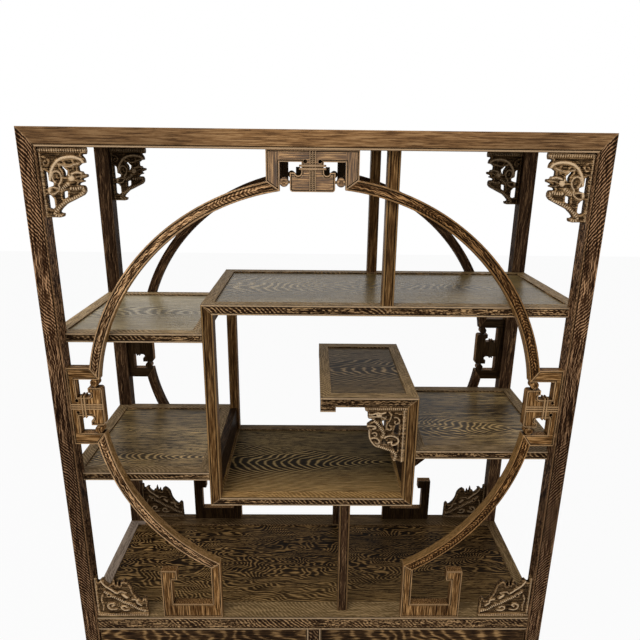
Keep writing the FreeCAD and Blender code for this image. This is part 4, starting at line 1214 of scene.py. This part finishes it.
def carved_board(bm, strokes, corner, scale, down, left=False, most=45000):
    """Carves both faces of a pierced board, and stores the height as an attribute.

    The strokes run from the corner to the right or left, and up or down. The result has about
    as many triangles as allowed at most.
    """
    item = as_object("board", bm)
    grid = item.modifiers.new("grid", "REMESH")
    grid.mode = "VOXEL"
    grid.voxel_size = 0.8 * MM
    made = applied(item)
    points = np.array([v.co[:] for v in made.verts]) / MM
    across = (points[:, 0] - corner[0]) * (-1 if left else 1)
    drop = (corner[1] - points[:, 2]) * (1 if down else -1)
    place = np.stack([across, drop], axis=1)
    height = carved_height(place, strokes, np.array(scale), edge_distances(made))
    middle = (points[:, 1].min() + points[:, 1].max()) / 2
    layer = made.verts.layers.float.new("relief")
    for vert, top in zip(made.verts, height):
        vert[layer] = top
        depth = vert.co.y - middle * MM
        vert.co.y = middle * MM + depth * (0.36 + 0.64 * top)
    bmesh.ops.smooth_vert(
        made, verts=made.verts, factor=0.35, use_axis_x=True, use_axis_y=True, use_axis_z=True
    )
    item = as_object("board", made)
    fewer = item.modifiers.new("fewer", "DECIMATE")
    fewer.ratio = min(1.0, most / sum(len(p.vertices) - 2 for p in item.data.polygons))
    return applied(item)


class CABINET_OT_carving(bpy.types.Operator):
    """Carves the spandrels in the corners and the brackets below the raised shelf"""

    bl_idname = "cabinet.carving"
    bl_label = "Carving"

    def execute(self, context):
        wood = wood_finish("carving_finish", CARVED_WOOD, straight("x"), 40, carved)
        upper = quarter_board("upper_spandrels", lambda p: p.x < 0 and p.y < 0)
        upper = carved_board(upper, UPPER_STROKES, (-470, 1818), (0.80, 1.17), True)
        lower = quarter_board("lower_spandrels", lambda p: p.x < 0 and p.y < 0)
        lower = carved_board(lower, LOWER_STROKES, (-470, 841), (1.12, 1.02), False)
        for body in (upper, lower):
            doubled(body, "x")
            doubled(body, "y")
        finished("spandrels_upper", upper, "upper_spandrels", wood, 180)
        finished("spandrels_lower", lower, "lower_spandrels", wood, 180)
        bracket = quarter_board("shelf_brackets", lambda p: p.y < 0)
        bracket = carved_board(
            bracket, BRACKET_STROKES, (180.5, 1335.5), (0.085, 0.1218), True, True, 90000
        )
        doubled(bracket, "y")
        finished("brackets", bracket, "shelf_brackets", wood, 180)
        return {"FINISHED"}


class CABINET_OT_base(bpy.types.Operator):
    """Finishes the closed base with its drawers and doors"""

    bl_idname = "cabinet.base"
    bl_label = "Base"

    def execute(self, context):
        edges = [(110 * MM, 1), (142 * MM, -1), (642 * MM, 1), (674 * MM, -1)]
        rails = ["base_front_rails", "base_back_rails"]
        dress_all(rails, FRAME_WOOD, straight("x"), 50, beaded("z", edges, DECK_FACE))
        dress_all(["base_end_rails"], FRAME_WOOD, straight("y"), 51)
        bead = moulded("drawer_divider", "x")
        dress_all(["drawer_divider"], FRAME_WOOD, straight("z"), 52, bead)
        dress_all(["base_panels"], BASE_BOARD_WOOD, straight("z"), 53)
        dress_all(["aprons"], FRAME_WOOD, straight("x"), 54)
        inner = ["cabinet_floor", "drawer_board", "drawer_guides"]
        dress_all(inner, INNER_WOOD, straight("x"), 55)
        for seed, side in enumerate(("left", "right"), 56):
            node = side + "_drawer_front"
            low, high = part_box(node)
            bead = beaded("z", [(low.z, 1), (high.z, -1)], -low.y)
            dress_board(node, BASE_PANEL_WOOD, "x", seed, bead)
            dress_all([side + "_drawer_box"], INNER_WOOD, straight("y"), seed + 2)
            border = settings().door_border
            route = frame_route(side + "_door_frame", "xz", (border, border))
            dress_all([side + "_door_frame"], FRAME_WOOD, route, seed + 4)
            dress_board(side + "_door_panel", BASE_PANEL_WOOD, "z", seed + 6)
        return {"FINISHED"}


def brass_finish():
    finish = Finish("aged_brass")
    x, y, z = finish.place()
    cloud = finish.noise(finish.vector(x * 110, y * 110, z * 110), 3.0, 0.55)
    speck = finish.noise(finish.vector(x * 700, y * 700, z * 700), 2.0)
    colour = finish.ramp(
        cloud, [(0.3, (0.22, 0.135, 0.05)), (0.5, (0.42, 0.285, 0.11)), (0.7, (0.54, 0.39, 0.17))]
    )
    shut = ((1 - finish.cover(5 * MM)) * 2.2 - 0.1).clamp()
    colour = finish.mix(shut, colour, BRASS_CREVICE)
    return finish.surface({
        "Base Color": colour,
        "Metallic": 1.0,
        "Roughness": cloud * -0.2 + 0.46,
        "Normal": finish.bump(speck, 0.05 * MM, 0.3),
    })


class CABINET_OT_pulls(bpy.types.Operator):
    """Finishes the brass drop pulls"""

    bl_idname = "cabinet.pulls"
    bl_label = "Brass pulls"

    def execute(self, context):
        material = brass_finish()
        for side in ("left", "right"):
            for holder in ("drawer", "door"):
                for part in ("plate", "drop"):
                    dress("_".join((side, holder, "pull", part)), material)
        return {"FINISHED"}


# Studio


def add_light(name, place, target, size, power):
    lamp = bpy.data.lights.new(name, "AREA")
    lamp.shape = "RECTANGLE"
    lamp.size, lamp.size_y = size
    lamp.energy = power
    item = add_object(name, lamp)
    item.location = place
    look = Vector(target) - Vector(place)
    item.rotation_euler = look.to_track_quat("-Z", "Y").to_euler()
    return item


def floor_finish(colour):
    """Pale floor that looks white to the camera and keeps the cabinet's shadow."""
    finish = Finish("studio_floor")
    grain = finish.noise(finish.vector(*[part * 3 for part in finish.place()]), 2.0)
    tint = finish.ramp(grain, [(0.3, [c * 0.985 for c in colour]), (0.7, colour)])
    diffuse = finish.node("ShaderNodeBsdfDiffuse", values={"Color": tint})
    white = finish.node("ShaderNodeEmission", values={"Color": (1, 1, 1), "Strength": 1.0})
    seen = finish.signal("ShaderNodeLightPath", "Is Camera Ray") * 0.94
    return finish.end(finish.node("ShaderNodeMixShader", values={
        "Fac": seen, 1: diffuse.outputs[0], 2: white.outputs[0],
    }))


def white_world():
    """Soft white light that looks brighter to the camera and in reflections."""
    finish = Finish("studio", "worlds", "ShaderNodeOutputWorld")
    rays = ("Is Camera Ray", "Is Glossy Ray", "Is Transmission Ray")
    seen = sum(finish.signal("ShaderNodeLightPath", ray) for ray in rays).clamp()
    bpy.context.scene.world = finish.end(finish.node(
        "ShaderNodeBackground", values={"Color": (1, 1, 1), "Strength": seen * 0.6 + 0.4}
    ))


class CABINET_OT_stage(bpy.types.Operator):
    """Sets up the floor, the lights and the camera"""

    bl_idname = "cabinet.stage"
    bl_label = "Studio"

    def execute(self, context):
        bm = bmesh.new()
        bmesh.ops.create_grid(bm, x_segments=1, y_segments=1, size=9)
        floor = as_object("floor", bm)
        floor.data.materials.append(floor_finish(settings().floor_colour))
        white_world()
        target = (0, 0, 1.2)
        add_light("key", (-1.4, -2.3, 3.4), target, (2.2, 1.6), settings().key_power)
        add_light("fill", (2.4, -2.2, 1.8), target, (2.0, 2.0), settings().key_power * 0.35)
        data = bpy.data.cameras.new("camera")
        data.sensor_width = 36
        data.lens = 31.316
        data.clip_end = 60
        camera = add_object("camera", data)
        camera.matrix_world = (
            Matrix.Translation((-0.00796, -1.1543, 1.8166))
            @ Matrix.Rotation(math.radians(-0.811), 4, "Z")
            @ Matrix.Rotation(math.radians(90 - 16.917), 4, "X")
            @ Matrix.Rotation(math.radians(0.659), 4, "Z")
        )
        context.scene.camera = camera
        context.scene.view_settings.view_transform = "Standard"
        return {"FINISHED"}


class CABINET_PT_panel(bpy.types.Panel):
    """Lists the steps that dress the cabinet"""

    bl_idname = "CABINET_PT_panel"
    bl_label = "Book cabinet"
    bl_space_type = "VIEW_3D"
    bl_region_type = "UI"
    bl_category = "Cabinet"

    def draw(self, context):
        for name in CabinetSettings.__annotations__:
            self.layout.prop(context.scene.cabinet_settings, name)
        for step in STEPS:
            self.layout.operator(step.bl_idname)


STEPS = (
    CABINET_OT_frame,
    CABINET_OT_shelves,
    CABINET_OT_gate,
    CABINET_OT_carving,
    CABINET_OT_base,
    CABINET_OT_pulls,
    CABINET_OT_stage,
)


def register():
    bpy.utils.register_class(CabinetSettings)
    bpy.types.Scene.cabinet_settings = bpy.props.PointerProperty(type=CabinetSettings)
    for step in STEPS:
        bpy.utils.register_class(step)
    bpy.utils.register_class(CABINET_PT_panel)


def unregister():
    bpy.utils.unregister_class(CABINET_PT_panel)
    for step in reversed(STEPS):
        bpy.utils.unregister_class(step)
    del bpy.types.Scene.cabinet_settings
    bpy.utils.unregister_class(CabinetSettings)


def corners(box):
    return [list(corner) for corner in box]


def main():
    register()
    for step in STEPS:
        group, name = step.bl_idname.split(".")
        getattr(getattr(bpy.ops, group), name)()


if __name__ == "__main__":
    main()
